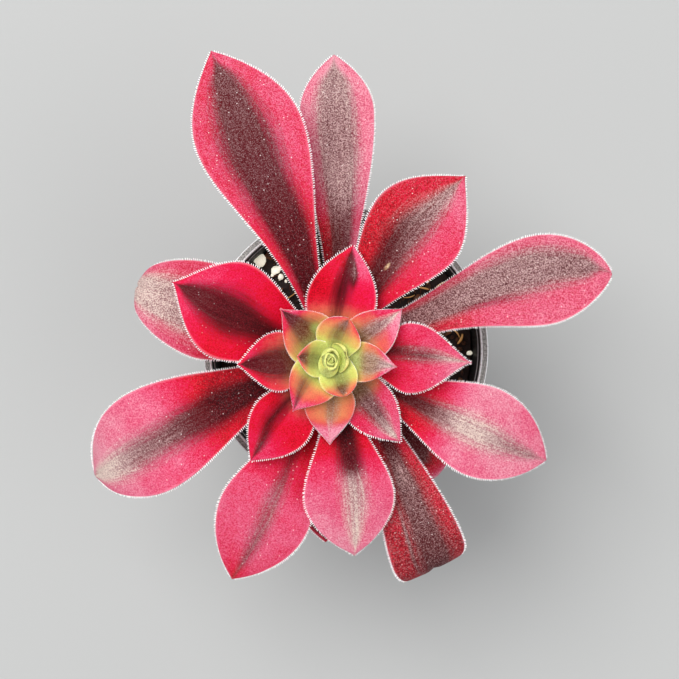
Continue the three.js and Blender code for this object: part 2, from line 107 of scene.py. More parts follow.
# Markings of each leaf, in rows for its base, middle and tip:
# left, right, tone, pale_left, pale_right, young, down
# Left and right are the dark stripe's edges, from 1 at the left margin to -1 at the right one.
# Tone is the stripe's colour, from 0, nearly black, to 1, cream. Pale is the colour of the leaf
# beside it, left and right, from 0, dark red, to 1, pale pink: the leaf's own red and pink, with a
# painted sheen of the sky where the leaf turns down towards its tip. Young is how yellow-green it
# is, and down how much white down dusts it.
MARKINGS = {
    "lower_leaf_1": (
        (0.9, -0.9, 0.1, 0.1, 0.1, 0, 0.3),
        (0.9, -0.9, 0.15, 0.2, 0.2, 0, 0.4),
        (0.8, -0.8, 0.2, 0.4, 0.4, 0, 0.5),
    ),
    "lower_leaf_2": (
        (0.85, -0.85, 0.14, 0.15, 0.15, 0, 0.4),
        (0.9, -0.85, 0.2, 0.3, 0.3, 0, 0.5),
        (0.2, -0.2, 0.5, 0.3, 0.36, 0, 0.5),
    ),
    "lower_leaf_3": (
        (0.6, -0.6, 0.3, 0.1, 0.1, 0, 0.4),
        (0.62, -0.5, 0.76, 0.6, 0.5, 0, 0.6),
        (0.72, -0.6, 0.9, 0.8, 0.72, 0, 0.7),
    ),
    "outer_leaf_1": (
        (0.45, -0.7, 0.3, 0.05, 0.7, 0, 0.5),
        (0.62, -0.62, 0.64, 0.8, 0.85, 0, 0.6),
        (0.6, -0.5, 0.69, 0.84, 0.82, 0, 0.7),
    ),
    "outer_leaf_2": (
        (0.55, -0.3, 0.16, 0.3, 0.2, 0, 0.5),
        (0.55, -0.32, 0.42, 0.16, 0.12, 0, 1),
        (0.62, -0.3, 0.25, 0.06, 0.04, 0, 1),
    ),
    "outer_leaf_3": (
        (0.75, -0.5, 0.54, 0.4, 0.26, 0, 0.7),
        (0.8, -0.3, 0.64, 0.68, 0.66, 0, 0.75),
        (0.68, -0.14, 0.6, 0.72, 0.7, 0, 0.75),
    ),
    "outer_leaf_4": (
        (0.15, -0.05, 0.15, 0.2, 0.2, 0, 0.15),
        (0.18, -0.05, 0.55, 0.64, 0.68, 0, 0.3),
        (0.2, 0, 0.42, 0.64, 0.62, 0, 0.4),
    ),
    "outer_leaf_5": (
        (0.6, -0.44, 0.06, 0.2, 0.1, 0, 0.2),
        (0.36, -0.2, 0.55, 0.72, 0.8, 0, 0.3),
        (0.52, -0.26, 1, 0.88, 1, 0, 0.3),
    ),
    "outer_leaf_6": (
        (0.65, -0.85, 0.12, 0.36, 0.3, 0, 0.3),
        (0.62, -0.45, 0.3, 0.58, 0.6, 0, 0.5),
        (0.5, -0.4, 0.38, 0.52, 0.6, 0, 0.6),
    ),
    "outer_leaf_7": (
        (0.3, -0.4, 0.25, 0.2, 0.15, 0, 0.2),
        (0.26, -0.38, 0.9, 0.92, 0.85, 0, 0.2),
        (0.1, -0.28, 0.64, 0.8, 0.88, 0, 0.3),
    ),
    "outer_leaf_8": (
        (0.5, -0.45, 0.2, 0.1, 0.3, 0, 0.15),
        (0.46, -0.3, 0.52, 0.16, 0.52, 0, 0.4),
        (0.26, -0.27, 0.68, 0.28, 0.66, 0, 0.6),
    ),
    "outer_leaf_9": (
        (0.42, -0.22, 0.06, 0.22, 0.2, 0, 0),
        (0.5, -0.37, 0.12, 0.32, 0.38, 0, 0.05),
        (0.44, -0.4, 0.26, 0.48, 0.5, 0, 0.1),
    ),
    "outer_leaf_10": (
        (0.6, -0.3, 0.02, 0.2, 0.18, 0, 0.1),
        (0.38, -0.1, 0.78, 0.72, 0.72, 0, 0.2),
        (0.3, -0.1, 0.94, 0.86, 0.9, 0, 0.2),
    ),
    "middle_leaf_1": (
        (-0.05, -0.55, 0.14, 0.28, 0.22, 0.4, 0),
        (-0.1, -0.5, 0.1, 0.27, 0.3, 0, 0.05),
        (0.1, -0.3, 0.34, 0.58, 0.44, 0, 0.1),
    ),
    "middle_leaf_2": (
        (0.5, 0.05, 0.12, 0.3, 0.3, 0.2, 0.1),
        (0.32, -0.1, 0.5, 0.52, 0.48, 0, 0.2),
        (0.3, -0.1, 0.84, 0.7, 0.86, 0, 0.3),
    ),
    "middle_leaf_3": (
        (0.2, -0.1, 0.2, 0.25, 0.3, 0.4, 0),
        (0.3, -0.16, 0.03, 0.2, 0.4, 0.05, 0),
        (0.25, -0.3, 0.3, 0.36, 0.7, 0, 0.12),
    ),
    "middle_leaf_4": (
        (0.6, -0.6, 0.52, 0.5, 0.5, 0.6, 0.05),
        (0.4, -0.36, 0.5, 0.62, 0.46, 0.08, 0.25),
        (0.28, -0.42, 0.84, 0.78, 0.72, 0, 0.3),
    ),
    "middle_leaf_5": (
        (0.75, -0.75, 0.3, 0.35, 0.35, 0.6, 0),
        (0.62, -0.52, 0.24, 0.28, 0.25, 0.3, 0.1),
        (0.55, -0.45, 0.2, 0.42, 0.38, 0, 0.15),
    ),
    "inner_leaf_1": (
        (0.35, -0.15, 0.6, 0.7, 0.6, 0.66, 0),
        (0.3, -0.14, 0.62, 0.8, 0.6, 0.46, 0),
        (-0.1, 0.1, 0.96, 1, 0.95, 0, 0.1),
    ),
    "inner_leaf_2": (
        (0.6, -0.6, 0.42, 0.4, 0.4, 0.85, 0),
        (0.5, -0.62, 0.34, 0.32, 0.42, 0.5, 0.05),
        (0.45, -0.5, 0.28, 0.5, 0.62, 0, 0.3),
    ),
    "inner_leaf_3": (
        (0.6, -0.3, 0.45, 0.4, 0.6, 0.75, 0),
        (0.5, -0.25, 0.62, 0.45, 0.8, 0.34, 0.1),
        (0.3, -0.2, 0.88, 0.6, 0.98, 0, 0.1),
    ),
    "inner_leaf_4": (
        (-0.1, -0.5, 0.55, 0.7, 0.5, 1, 0),
        (-0.08, -0.48, 0.38, 0.66, 0.42, 0.45, 0),
        (-0.05, -0.4, 0.42, 0.74, 0.64, 0.12, 0.1),
    ),
    "inner_leaf_5": (
        (0.45, -0.45, 0.66, 0.7, 0.7, 1, 0),
        (0.6, -0.7, 0.68, 0.7, 0.5, 0.52, 0),
        (0.4, -0.4, 0.82, 0.9, 0.86, 0.05, 0.05),
    ),
    "inner_leaf_6": (
        (0.35, -0.3, 0.6, 0.5, 0.5, 1, 0),
        (0.4, -0.28, 0.4, 0.5, 0.6, 0.7, 0),
        (0.3, -0.3, 0.5, 0.66, 0.5, 0.36, 0),
    ),
    "inner_leaf_7": (
        (0.45, -0.35, 0.6, 0.8, 0.8, 1, 0),
        (0.5, -0.4, 0.5, 0.8, 0.8, 0.88, 0),
        (0.35, -0.35, 0.5, 0.86, 0.86, 0.48, 0.1),
    ),
    "inner_leaf_8": (
        (0.45, -0.4, 0.5, 0.7, 0.7, 1, 0),
        (0.6, -0.55, 0.36, 0.7, 0.7, 0.85, 0),
        (0.6, -0.6, 0.42, 0.84, 0.84, 0.42, 0.1),
    ),
}

# Blotches: place along the leaf and across it, reach along and across, what changes, how much
BLOTCHES = {
    "lower_leaf_2": (
        (0.95, 0, 0.1, 1.5, "stripe", -4),
        (1, 0, 0.05, 1.5, "pale", 0.7),
        (0.84, 0, 0.04, 0.3, "pale", -0.4),
    ),
    "outer_leaf_1": (
        (0.55, -0.1, 0.08, 0.5, "tone", 0.08),
        (0.75, 0.1, 0.1, 0.5, "tone", -0.06),
        (1, 0, 0.09, 0.6, "pale", 0.35),
    ),
    "outer_leaf_2": (
        (0.46, 0.1, 0.09, 0.4, "tone", 0.35),
        (0.75, -0.4, 0.2, 0.045, "stripe", 1.2),
        (0.75, -0.4, 0.2, 0.05, "tone", 0.2),
    ),
    "outer_leaf_3": (
        (0.58, -0.3, 0.1, 0.12, "tone", -0.35),
    ),
    "outer_leaf_4": (
        (1, 0, 0.07, 0.7, "pale", -0.4),
    ),
    "outer_leaf_8": (
        (0.518, 0.06, 0.024, 0.03, "scar", 0.9),
        (0.48, 0.02, 0.024, 0.034, "scar", 1),
        (0.56, 0.34, 0.1, 0.3, "tone", -0.3),
    ),
    "outer_leaf_10": (
        (0.5, 0.25, 0.05, 0.6, "tone", -0.3),
    ),
    "middle_leaf_3": (
        (0.76, -0.3, 0.1, 0.16, "stripe", 2),
        (0.77, -0.3, 0.08, 0.16, "tone", 0.35),
    ),
    "inner_leaf_2": (
        (0.5, -0.4, 0.09, 0.2, "young", 0.35),
    ),
    "inner_leaf_7": (
        (0.76, 0, 0.09, 0.3, "tone", -0.12),
        (0.76, 0, 0.09, 0.3, "stripe", 0.8),
    ),
}

SHAPE_FIELDS = (
    "azimuth", "reach", "height", "seat", "rise", "fall", "sweep", "hook",
    "width", "broad", "point", "cup", "base", "taper",
)
MARKING_FIELDS = ("left", "right", "tone", "pale_left", "pale_right", "young", "down")

# Leaf thickness at the midrib of a leaf of the full width, and at the margins
FULL_WIDTH = 27.0
FULL_THICKNESS = 2.4
MARGIN_THICKNESS = 0.7

# Leaves that cup the heart and close over it, from the outermost: bearing, widest radius, how far
# round they close, in degrees from the foot, with 90 upright, height, spread to each side, how
# young they look at the rim, how far right and up of the crown they are centred, and how far the
# tip folds in
FURLED = (
    (16, 6.5, 73, 129.9, 72, 0.85, 0.2, 0, 0.9),
    (250, 3.65, 145, 130.0, 118, 0.86, -0.55, -0.95, 0.3),
    (78, 3.5, 121, 130.9, 88, 0.95, -0.4, -0.25, 0),
    (300, 2.7, 127, 130.6, 92, 1, -0.25, -0.35, 0),
    (165, 2.55, 128, 130.9, 88, 1, -0.2, -0.3, 0.2),
    (40, 2.0, 134, 131.1, 84, 1, -0.1, -0.3, 0.2),
    (260, 1.6, 141, 131.2, 85, 1, 0, -0.15, 0.2),
    (130, 1.25, 146, 131.3, 85, 1, 0, 0, 0.2),
    (0, 0.95, 152, 131.3, 85, 1, 0, 0, 0.1),
)

# Perlite grains that show between the leaves: place and size
SHOWN_GRAINS = (
    (-27.8, 28.8, 2.5),
    (-22.6, 25.8, 1.7),
    (-21.1, 23.6, 1.0),
    (-19.4, 22.2, 0.6),
    (-23.8, 24.2, 0.6),
    (40.0, -1.1, 0.95),
)

# Straws that show between the leaves: place, bearing, length, bend and thickness
SHOWN_STRAWS = (
    (25.4, 19.9, -0.2, 4.2, 0.1, 0.3),
    (22, 21.5, 0.1, 5.2, 0.3, 0.16),
    (27, 22.5, 0.9, 2.6, -0.3, 0.3),
    (37.3, 3.4, 1.1, 3.4, 0.3, 0.42),
    (36.4, -3, 1.9, 4, -0.5, 0.18),
    (36, 5.5, 2.3, 3.4, 0.4, 0.22),
    (20.5, 17, 0.2, 4, 0.4, 0.18),
)

# Large odd factors that scatter the numbers of neighbouring lattice points
AXIS_FACTORS = (73856093, 19349663, 83492791)
SEED_FACTOR = 2654435761
MIXING_FACTORS = (2246822519, 3266489917)


def srgb(red, green, blue):
    """A colour as seen, 0 to 255, as the linear values that Blender mixes."""
    seen = np.array([red, green, blue]) / 255
    low = seen / 12.92
    high = ((seen + 0.055) / 1.055) ** 2.4
    return tuple(float(v) for v in np.where(seen <= 0.04045, low, high))


def smoothstep(value, low, high):
    """0 under low, 1 over high, and 3s squared minus 2s cubed between."""
    share = np.clip((np.asarray(value, float) - low) / (high - low), 0, 1)
    return share * share * (3 - 2 * share)


def lattice_noise(points, scale, seed):
    """Smooth noise from 0 to 1: random values at whole-number points, blended between."""
    place = np.asarray(points, float) * scale
    cell = np.floor(place).astype(np.int64)
    part = place - cell
    part = part * part * (3 - 2 * part)
    total = np.zeros(place.shape[:-1])
    for corner in np.ndindex(2, 2, 2):
        at = cell + corner
        mixed = seed * SEED_FACTOR
        for axis, factor in enumerate(AXIS_FACTORS):
            mixed = mixed ^ at[..., axis] * factor
        for shift, factor in zip((15, 13), MIXING_FACTORS):
            mixed = (mixed ^ (mixed >> shift)) * factor & 0xFFFFFFFF
        value = (mixed ^ (mixed >> 16)) / 0xFFFFFFFF
        weight = np.prod(np.where(corner, part, 1 - part), axis=-1)
        total += weight * value
    return total


def rough_noise(points, scale, seed, octaves):
    """Noise from about -1 to 1: each octave twice as fine and half as strong as the last."""
    total = np.zeros(np.asarray(points).shape[:-1])
    for octave in range(octaves):
        layer = lattice_noise(points, scale * 2**octave, seed + octave)
        total += (layer - 0.5) * 2 * 0.5**octave
    return total


def closed_tube(rings):
    """Points and faces of a tube through rings, a (rows, columns, 3) array, closed at both ends.

    Each ring turns anticlockwise as seen from the next one. The ends are fans to their middles.
    """
    rows, columns = rings.shape[:2]
    ends = np.stack([rings[0].mean(0), rings[-1].mean(0)])
    points = np.concatenate([rings.reshape(-1, 3), ends])
    row = np.arange(rows - 1)[:, None] * columns
    here = np.arange(columns)[None]
    there = (here + 1) % columns
    quads = np.stack([row + here, row + there, row + columns + there, row + columns + here], -1)
    here, there = here[0], there[0]
    last = (rows - 1) * columns
    first_pole = np.full(columns, rows * columns)
    first_fan = np.stack([first_pole, there, here], -1)
    last_fan = np.stack([first_pole + 1, last + here, last + there], -1)
    return points, quads.reshape(-1, 4), np.concatenate([first_fan, last_fan])


def alike(rings):
    """Points and one tube's faces, for closed tubes from (tubes, rows, columns, 3) rings."""
    _, quads, tris = closed_tube(rings[0])
    ends = rings[:, [0, -1]].mean(2)
    return np.concatenate([rings.reshape(len(rings), -1, 3), ends], 1), quads, tris


def many(points, quads, tris):
    """One mesh from many alike: points is (pieces, points, 3), and the faces are one piece's."""
    pieces, size = points.shape[:2]
    step = np.arange(pieces)[:, None, None] * size
    all_quads = (quads[None] + step).reshape(-1, 4)
    all_tris = (tris[None] + step).reshape(-1, 3)
    return points.reshape(-1, 3), all_quads, all_tris


def full_turn(columns):
    """Angles evenly round a circle, from 0."""
    return np.linspace(0, 2 * math.pi, columns, endpoint=False)


def polar(radius, turn, height):
    """Points at distances from the Z axis, angles round it and heights."""
    place = np.broadcast_arrays(radius * np.cos(turn), radius * np.sin(turn), height)
    return np.stack(place, -1)


def turned(profile, columns):
    """Rings of a profile of (radius, height) rows that is turned about the Z axis."""
    return polar(profile[:, :1], full_turn(columns), profile[:, 1:])


def rounded(corners, reach, steps):
    """A profile with each inner corner replaced by a short curve that starts reach before it.

    The curve is a parabola whose tangents at its two ends meet in the corner.
    """
    corners = np.asarray(corners, float)
    rows = [corners[:1]]
    share = np.linspace(0, 1, steps + 1)[:, None]
    for before, corner, after in zip(corners[:-2], corners[1:-1], corners[2:]):
        back, ahead = before - corner, after - corner
        cut = min(reach, 0.45 * np.hypot(*back), 0.45 * np.hypot(*ahead))
        start = corner + back / np.hypot(*back) * cut
        end = corner + ahead / np.hypot(*ahead) * cut
        rows.append((1 - share) ** 2 * start + 2 * share * (1 - share) * corner + share**2 * end)
    rows.append(corners[-1:])
    return np.concatenate(rows)


def refined(profile, step):
    """A profile with points added so that none lie further apart than step."""
    rows = [profile[:1]]
    for start, end in zip(profile[:-1], profile[1:]):
        count = max(1, math.ceil(np.hypot(*(end - start)) / step))
        share = np.arange(1, count + 1)[:, None] / count
        rows.append(start + share * (end - start))
    return np.concatenate(rows)


def run_of(line):
    """The distance from a line's start to each of its points, along the line."""
    return np.concatenate([[0], np.cumsum(np.linalg.norm(np.diff(line, axis=0), axis=1))])


def sampled(stops, run, rows):
    """Rows of vectors that are blended at the stops, from rows that lie at the run's distances."""
    return np.stack([np.interp(stops, run, rows[:, k]) for k in range(3)], -1)


def new_piece(name, points, quads, tris, material, uv=None, smooth=True, **values):
    """An object at the origin from points in millimetres, with a value per point as attributes."""
    mesh = bpy.data.meshes.new(name)
    corners = np.concatenate([quads.reshape(-1), tris.reshape(-1)]).astype(np.int32)
    sizes = np.concatenate([np.full(len(quads), 4), np.full(len(tris), 3)])
    starts = np.concatenate([[0], np.cumsum(sizes)[:-1]])
    mesh.vertices.add(len(points))
    mesh.vertices.foreach_set("co", (points * MM).astype(np.float32).ravel())
    mesh.loops.add(len(corners))
    mesh.loops.foreach_set("vertex_index", corners)
    mesh.polygons.add(len(sizes))
    mesh.polygons.foreach_set("loop_start", starts.astype(np.int32))
    mesh.polygons.foreach_set("loop_total", sizes.astype(np.int32))
    mesh.update(calc_edges=True)
    mesh.polygons.foreach_set("use_smooth", np.full(len(sizes), smooth))
    for key, value in values.items():
        layer = mesh.attributes.new(key, "FLOAT", "POINT")
        layer.data.foreach_set("value", np.asarray(value, np.float32).ravel())
    if uv is not None:
        layer = mesh.uv_layers.new(name="grain")
        layer.data.foreach_set("uv", uv[corners].astype(np.float32).ravel())
    mesh.materials.append(material)
    piece = bpy.data.objects.new(name, mesh)
    bpy.context.scene.collection.objects.link(piece)
    return piece


def settle(piece, slot, *nodes):
    """The piece rides on the plant's one body and stands for the nodes; the slot is not used."""
    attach(piece, "root")
    if nodes:
        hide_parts(*nodes)


# Leaf surfaces


def heading(bearing, slope):
    """A unit vector from a bearing and a slope in degrees."""
    turn, lift = math.radians(bearing), math.radians(slope)
    level = math.cos(lift)
    return np.array([math.cos(turn) * level, math.sin(turn) * level, math.sin(lift)])


def stem_axis(height):
    """Points on the stem's axis: over the pot's centre in the soil, over to the crown's by 112."""
    lean = smoothstep(height, SOIL_LEVEL + 3, 112)
    return np.stack([CROWN[0] * lean, CROWN[1] * lean, np.asarray(height, float) + 0 * lean], -1)


def midrib(leaf, start, along):
    """Points and tangents of a leaf's midrib at shares of its length, and its length.

    A cubic curve from start to the tip. Its handles are 0.4 and 0.36 of the straight distance, and
    follow the leaf's rise and fall, each turned sideways by the sweep, the last also by the hook.
    """
    tip = CROWN + leaf["reach"] * heading(leaf["azimuth"], 0)
    tip[2] = leaf["height"]
    chord = np.linalg.norm(tip - start)
    leave = start + 0.4 * chord * heading(leaf["azimuth"] + leaf["sweep"], leaf["rise"])
    last_bearing = leaf["azimuth"] - leaf["sweep"] - leaf["hook"]
    arrive = tip - 0.36 * chord * heading(last_bearing, leaf["fall"])
    t = np.linspace(0, 1, 400)[:, None]
    s = 1 - t
    line = s**3 * start + 3 * t * s**2 * leave + 3 * t**2 * s * arrive + t**3 * tip
    slope = 3 * s**2 * (leave - start) + 6 * t * s * (arrive - leave) + 3 * t**2 * (tip - arrive)
    run = run_of(line)
    points = sampled(along * run[-1], run, line)
    tangents = sampled(along * run[-1], run, slope)
    return points, tangents / np.linalg.norm(tangents, axis=1, keepdims=True), run[-1]


def half_width(leaf, along):
    """Half the leaf's width: a stalk that widens to the broad place, then a rounded point."""
    share = np.clip(along / leaf["broad"], 0, 1) ** leaf["taper"]
    before = leaf["base"] + (1 - leaf["base"]) * share * share * (3 - 2 * share)
    past = np.clip((along - leaf["broad"]) / (1 - leaf["broad"]), 0, 1)
    after = (1 - past * past) ** leaf["point"]
    return np.maximum(0.12, leaf["width"] / 2 * np.where(along < leaf["broad"], before, after))


def leaf_frame(leaf, start, along):
    """Midrib points, left-hand directions, upward normals and the midrib's length."""
    centre, tangent, length = midrib(leaf, start, along)
    level = heading(leaf["azimuth"] + 90, 0)
    side = level - (tangent @ level)[:, None] * tangent
    side /= np.linalg.norm(side, axis=1, keepdims=True)
    return centre, side, np.cross(tangent, side), length


def leaf_surface(leaf, start, along, turn, wave, seed):
    """Rings of a leaf, and the length of its midrib.

    Across goes from -1 at the right margin to 1 at the left one, and is the cosine of the ring's
    turn. The margins lift by cup times the half width times across squared, and ripple by wave. A
    shallow groove follows the midrib. Over and under the middle layer stand 0.4 and 0.6 of a
    thickness that is full at the midrib and thin, with a round edge, at the margins.
    """
    centre, side, normal, length = leaf_frame(leaf, start, along)
    across = np.cos(turn)[None]
    half = half_width(leaf, along)[:, None]
    u = along[:, None]
    stout = math.sqrt(leaf["width"] / FULL_WIDTH)
    full = MARGIN_THICKNESS + (FULL_THICKNESS - MARGIN_THICKNESS) * stout
    deep = MARGIN_THICKNESS + (full - MARGIN_THICKNESS) * (1 - 0.5 * u * u)
    rise = np.abs(np.sin(turn))[None]
    thick = MARGIN_THICKNESS * rise**0.5 + (deep - MARGIN_THICKNESS) * rise**2
    thick = thick * smoothstep(1.02 - u, 0, 0.06)
    layer = np.where(np.sin(turn)[None] >= 0, 0.4, -0.6) * thick
    random = np.random.default_rng(seed)
    phase = random.uniform(0, 2 * math.pi, 4)
    left = wave * np.sin(9 * u + phase[0]) + 0.5 * wave * np.sin(23 * u + phase[1])
    right = wave * np.sin(10 * u + phase[2]) + 0.5 * wave * np.sin(21 * u + phase[3])
    ripple = np.where(across > 0, left, right) * np.abs(across) ** 3
    groove = -0.22 * full * np.exp(-((across / 0.13) ** 2)) * smoothstep(u, 0.2, 0.6)
    place = np.stack(np.broadcast_arrays(u * 7, across * 2.2, float(seed)), -1)
    swell = 0.05 * full * rough_noise(place, 1.3, seed, 3)
    swell = swell * (1 - np.abs(across) ** 6)
    lift = leaf["cup"] * half * across**2 + (ripple + groove + swell) * smoothstep(1 - u, 0, 0.08)
    rings = centre[:, None] + side[:, None] * (half * across)[..., None]
    rings = rings + normal[:, None] * (lift + layer)[..., None]
    return rings, length


def keyed(values, u):
    """Blends from the base's value to the middle's by 0.62 of the length, to the tip's by 0.9."""
    base, middle, tip = values
    first = (middle - base) * smoothstep(u, 0.35, 0.62)
    return base + first + (tip - middle) * smoothstep(u, 0.62, 0.9)


def with_ends(grid):
    """A closed tube's point values from its rings' ones: an end's point has its ring's mean."""
    return np.concatenate([grid.ravel(), grid[[0, -1]].mean(1)])


def grain_map(sideways, lengthways):
    """A map that runs across and along a closed tube's rings, 10 millimetres to a tenth of it."""
    place = np.stack(np.broadcast_arrays(sideways, lengthways), -1)
    ends = [(0, place[0, 0, 1]), (0, place[-1, 0, 1])]
    return np.concatenate([place.reshape(-1, 2), ends]) * 0.01 + 0.5


def leaf_values(leaf, along, turn):
    """The point values that the leaf's material reads, from its markings.

    stripe is over 0 inside the dark stripe and under 0 outside: the distance to its nearer edge,
    as a share of the edge's softness. The stripe closes at the very tip. The others go from 0 to
    1; young is less towards the margins. Each blotch adds its change times a Gauss bell along and
    across the leaf.
    """
    u = along[:, None]
    across = np.cos(turn)[None]
    left, right = keyed(leaf["left"], u), keyed(leaf["right"], u)
    middle = (left + right) / 2
    half = (left - right) / 2 * smoothstep(1.0 - u, 0, 0.1)
    pale_left, pale_right = keyed(leaf["pale_left"], u), keyed(leaf["pale_right"], u)
    young = keyed(leaf["young"], u)
    soft = 0.24 + 0.2 * young
    values = {
        "stripe": (half - np.abs(across - middle)) / soft,
        "tone": keyed(leaf["tone"], u),
        "young": young * (1 - 0.7 * (1 - young) * across**2),
        "down": keyed(leaf["down"], u),
        "pale": np.where(across > middle, pale_left, pale_right),
        "upper": np.where(np.sin(turn) > -0.01, 1.0, 0.0)[None],
        "margin": np.abs(across) ** 4,
        "scar": 0 * u,
    }
    for place_u, place_across, reach_u, reach_across, key, change in leaf.get("blotches", ()):
        far = ((u - place_u) / reach_u) ** 2 + ((across - place_across) / reach_across) ** 2
        values[key] = values[key] + change * np.exp(-far)
    shape = (len(along), len(turn))
    return {key: with_ends(np.broadcast_to(value, shape)) for key, value in values.items()}


def leaf_piece_data(leaf, start, rows, columns, wave, seed):
    """Points, faces, point values and grain map of one leaf from start to its tip.

    Rows lie closer together towards the tip.
    """
    along = 1 - (1 - np.linspace(0.03, 1, rows)) ** 1.15
    turn = full_turn(columns)
    rings, length = leaf_surface(leaf, start, along, turn, wave, seed)
    grain = grain_map(np.cos(turn) * leaf["width"] / 2, along[:, None] * length)
    return *closed_tube(rings), leaf_values(leaf, along, turn), grain


def leaf_of(name):
    """A leaf's shape, markings and blotches, by the names of their fields."""
    leaf = dict(zip(SHAPE_FIELDS, SHAPES[name]))
    leaf.update(zip(MARKING_FIELDS, zip(*MARKINGS[name])))
    leaf["blotches"] = BLOTCHES.get(name, ())
    return leaf


# Node graphs


class Graph:
    """A material's nodes, added one call at a time."""

    def __init__(self, name):
        self.material = bpy.data.materials.new(name)
        self.material.use_nodes = True
        self.nodes = self.material.node_tree.nodes
        self.links = self.material.node_tree.links
        self.shader = self.nodes["Principled BSDF"]

    def put(self, socket, value):
        """Links the value if it is another node's output, and otherwise sets it."""
        if isinstance(value, bpy.types.NodeSocket):
            self.links.new(value, socket)
        elif isinstance(value, tuple) and len(value) == 3 and len(socket.default_value) == 4:
            socket.default_value = (*value, 1)
        else:
            socket.default_value = value

    def node(self, kind, output=0, settings=None, **inputs):
        """An output of a new node with these settings and inputs."""
        node = self.nodes.new(kind)
        for key, value in (settings or {}).items():
            setattr(node, key, value)
        for key, value in inputs.items():
            self.put(node.inputs[key.replace("_", " ")], value)
        return node.outputs[output]

    def math(self, operation, first, second):
        """The result of an operation on two numbers."""
        node = self.nodes.new("ShaderNodeMath")
        node.operation = operation
        self.put(node.inputs[0], first)
        self.put(node.inputs[1], second)
        return node.outputs[0]

    def sway(self, value, noise, amount):
        """The value, moved by the noise's distance from a half times the amount."""
        move = self.math("MULTIPLY", self.math("SUBTRACT", noise, 0.5), amount)
        return self.math("ADD", value, move)

    def mix(self, factor, first, second, blend="MIX"):
        """Two colours, mixed or multiplied."""
        node = self.nodes.new("ShaderNodeMix")
        node.data_type = "RGBA"
        node.blend_type = blend
        self.put(node.inputs[0], factor)
        self.put(node.inputs[6], first)
        self.put(node.inputs[7], second)
        return node.outputs[2]

    def blend(self, factor, first, second):
        """Two numbers, mixed."""
        node = self.nodes.new("ShaderNodeMix")
        self.put(node.inputs[0], factor)
        self.put(node.inputs[2], first)
        self.put(node.inputs[3], second)
        return node.outputs[0]

    def value(self, name):
        """The piece's own point value of this name."""
        return self.node("ShaderNodeAttribute", 2, {"attribute_name": name})

    def steps(self, value, low, high, first=0.0, last=1.0):
        """First where the value is under low, last over high, and a smooth step between."""
        node = self.nodes.new("ShaderNodeMapRange")
        node.interpolation_type = "SMOOTHSTEP"
        for socket, number in zip(node.inputs, (value, low, high, first, last)):
            self.put(socket, number)
        return node.outputs[0]

    def ramp(self, value, *stops):
        """A colour for each value, blended between stops of place and colour."""
        node = self.nodes.new("ShaderNodeValToRGB")
        elements = node.color_ramp.elements
        while len(elements) < len(stops):
            elements.new(0.5)
        for element, (place, colour) in zip(elements, stops):
            element.position = place
            element.color = (*colour, 1)
        self.put(node.inputs[0], value)
        return node.outputs[0]

    def dots(self, vector, scale, reach):
        """1 on round dots, one in each cell, and a random value for each cell."""
        node = self.nodes.new("ShaderNodeTexVoronoi")
        self.put(node.inputs["Vector"], vector)
        node.inputs["Scale"].default_value = scale
        parts = self.nodes.new("ShaderNodeSeparateColor")
        self.links.new(node.outputs["Color"], parts.inputs[0])
        return self.steps(node.outputs["Distance"], reach, reach * 0.4), parts.outputs[0]

    def noise(self, vector, scale, detail=2.0, roughness=0.5):
        """Cloudy noise, from 0 to 1; the scale is in cells to a metre."""
        return self.node(
            "ShaderNodeTexNoise", 0, Vector=vector, Scale=scale, Detail=detail, Roughness=roughness
        )

    def place(self):
        """The object's own coordinates, in metres."""
        return self.node("ShaderNodeTexCoord", 3)

    def stretched(self, vector, scale):
        """Coordinates scaled along each axis."""
        return self.node("ShaderNodeMapping", 0, Vector=vector, Scale=scale)

    def bump(self, height, distance, strength, normal=None):
        """The normal of a surface raised by height times the distance, on top of another bump."""
        node = self.nodes.new("ShaderNodeBump")
        self.put(node.inputs["Height"], height)
        node.inputs["Distance"].default_value = distance
        node.inputs["Strength"].default_value = strength
        if normal is not None:
            self.put(node.inputs["Normal"], normal)
        return node.outputs[0]

    def surface(self, **inputs):
        """Sets the shader's inputs, and gives the finished material."""
        for key, value in inputs.items():
            self.put(self.shader.inputs[key.replace("_", " ")], value)
        return self.material


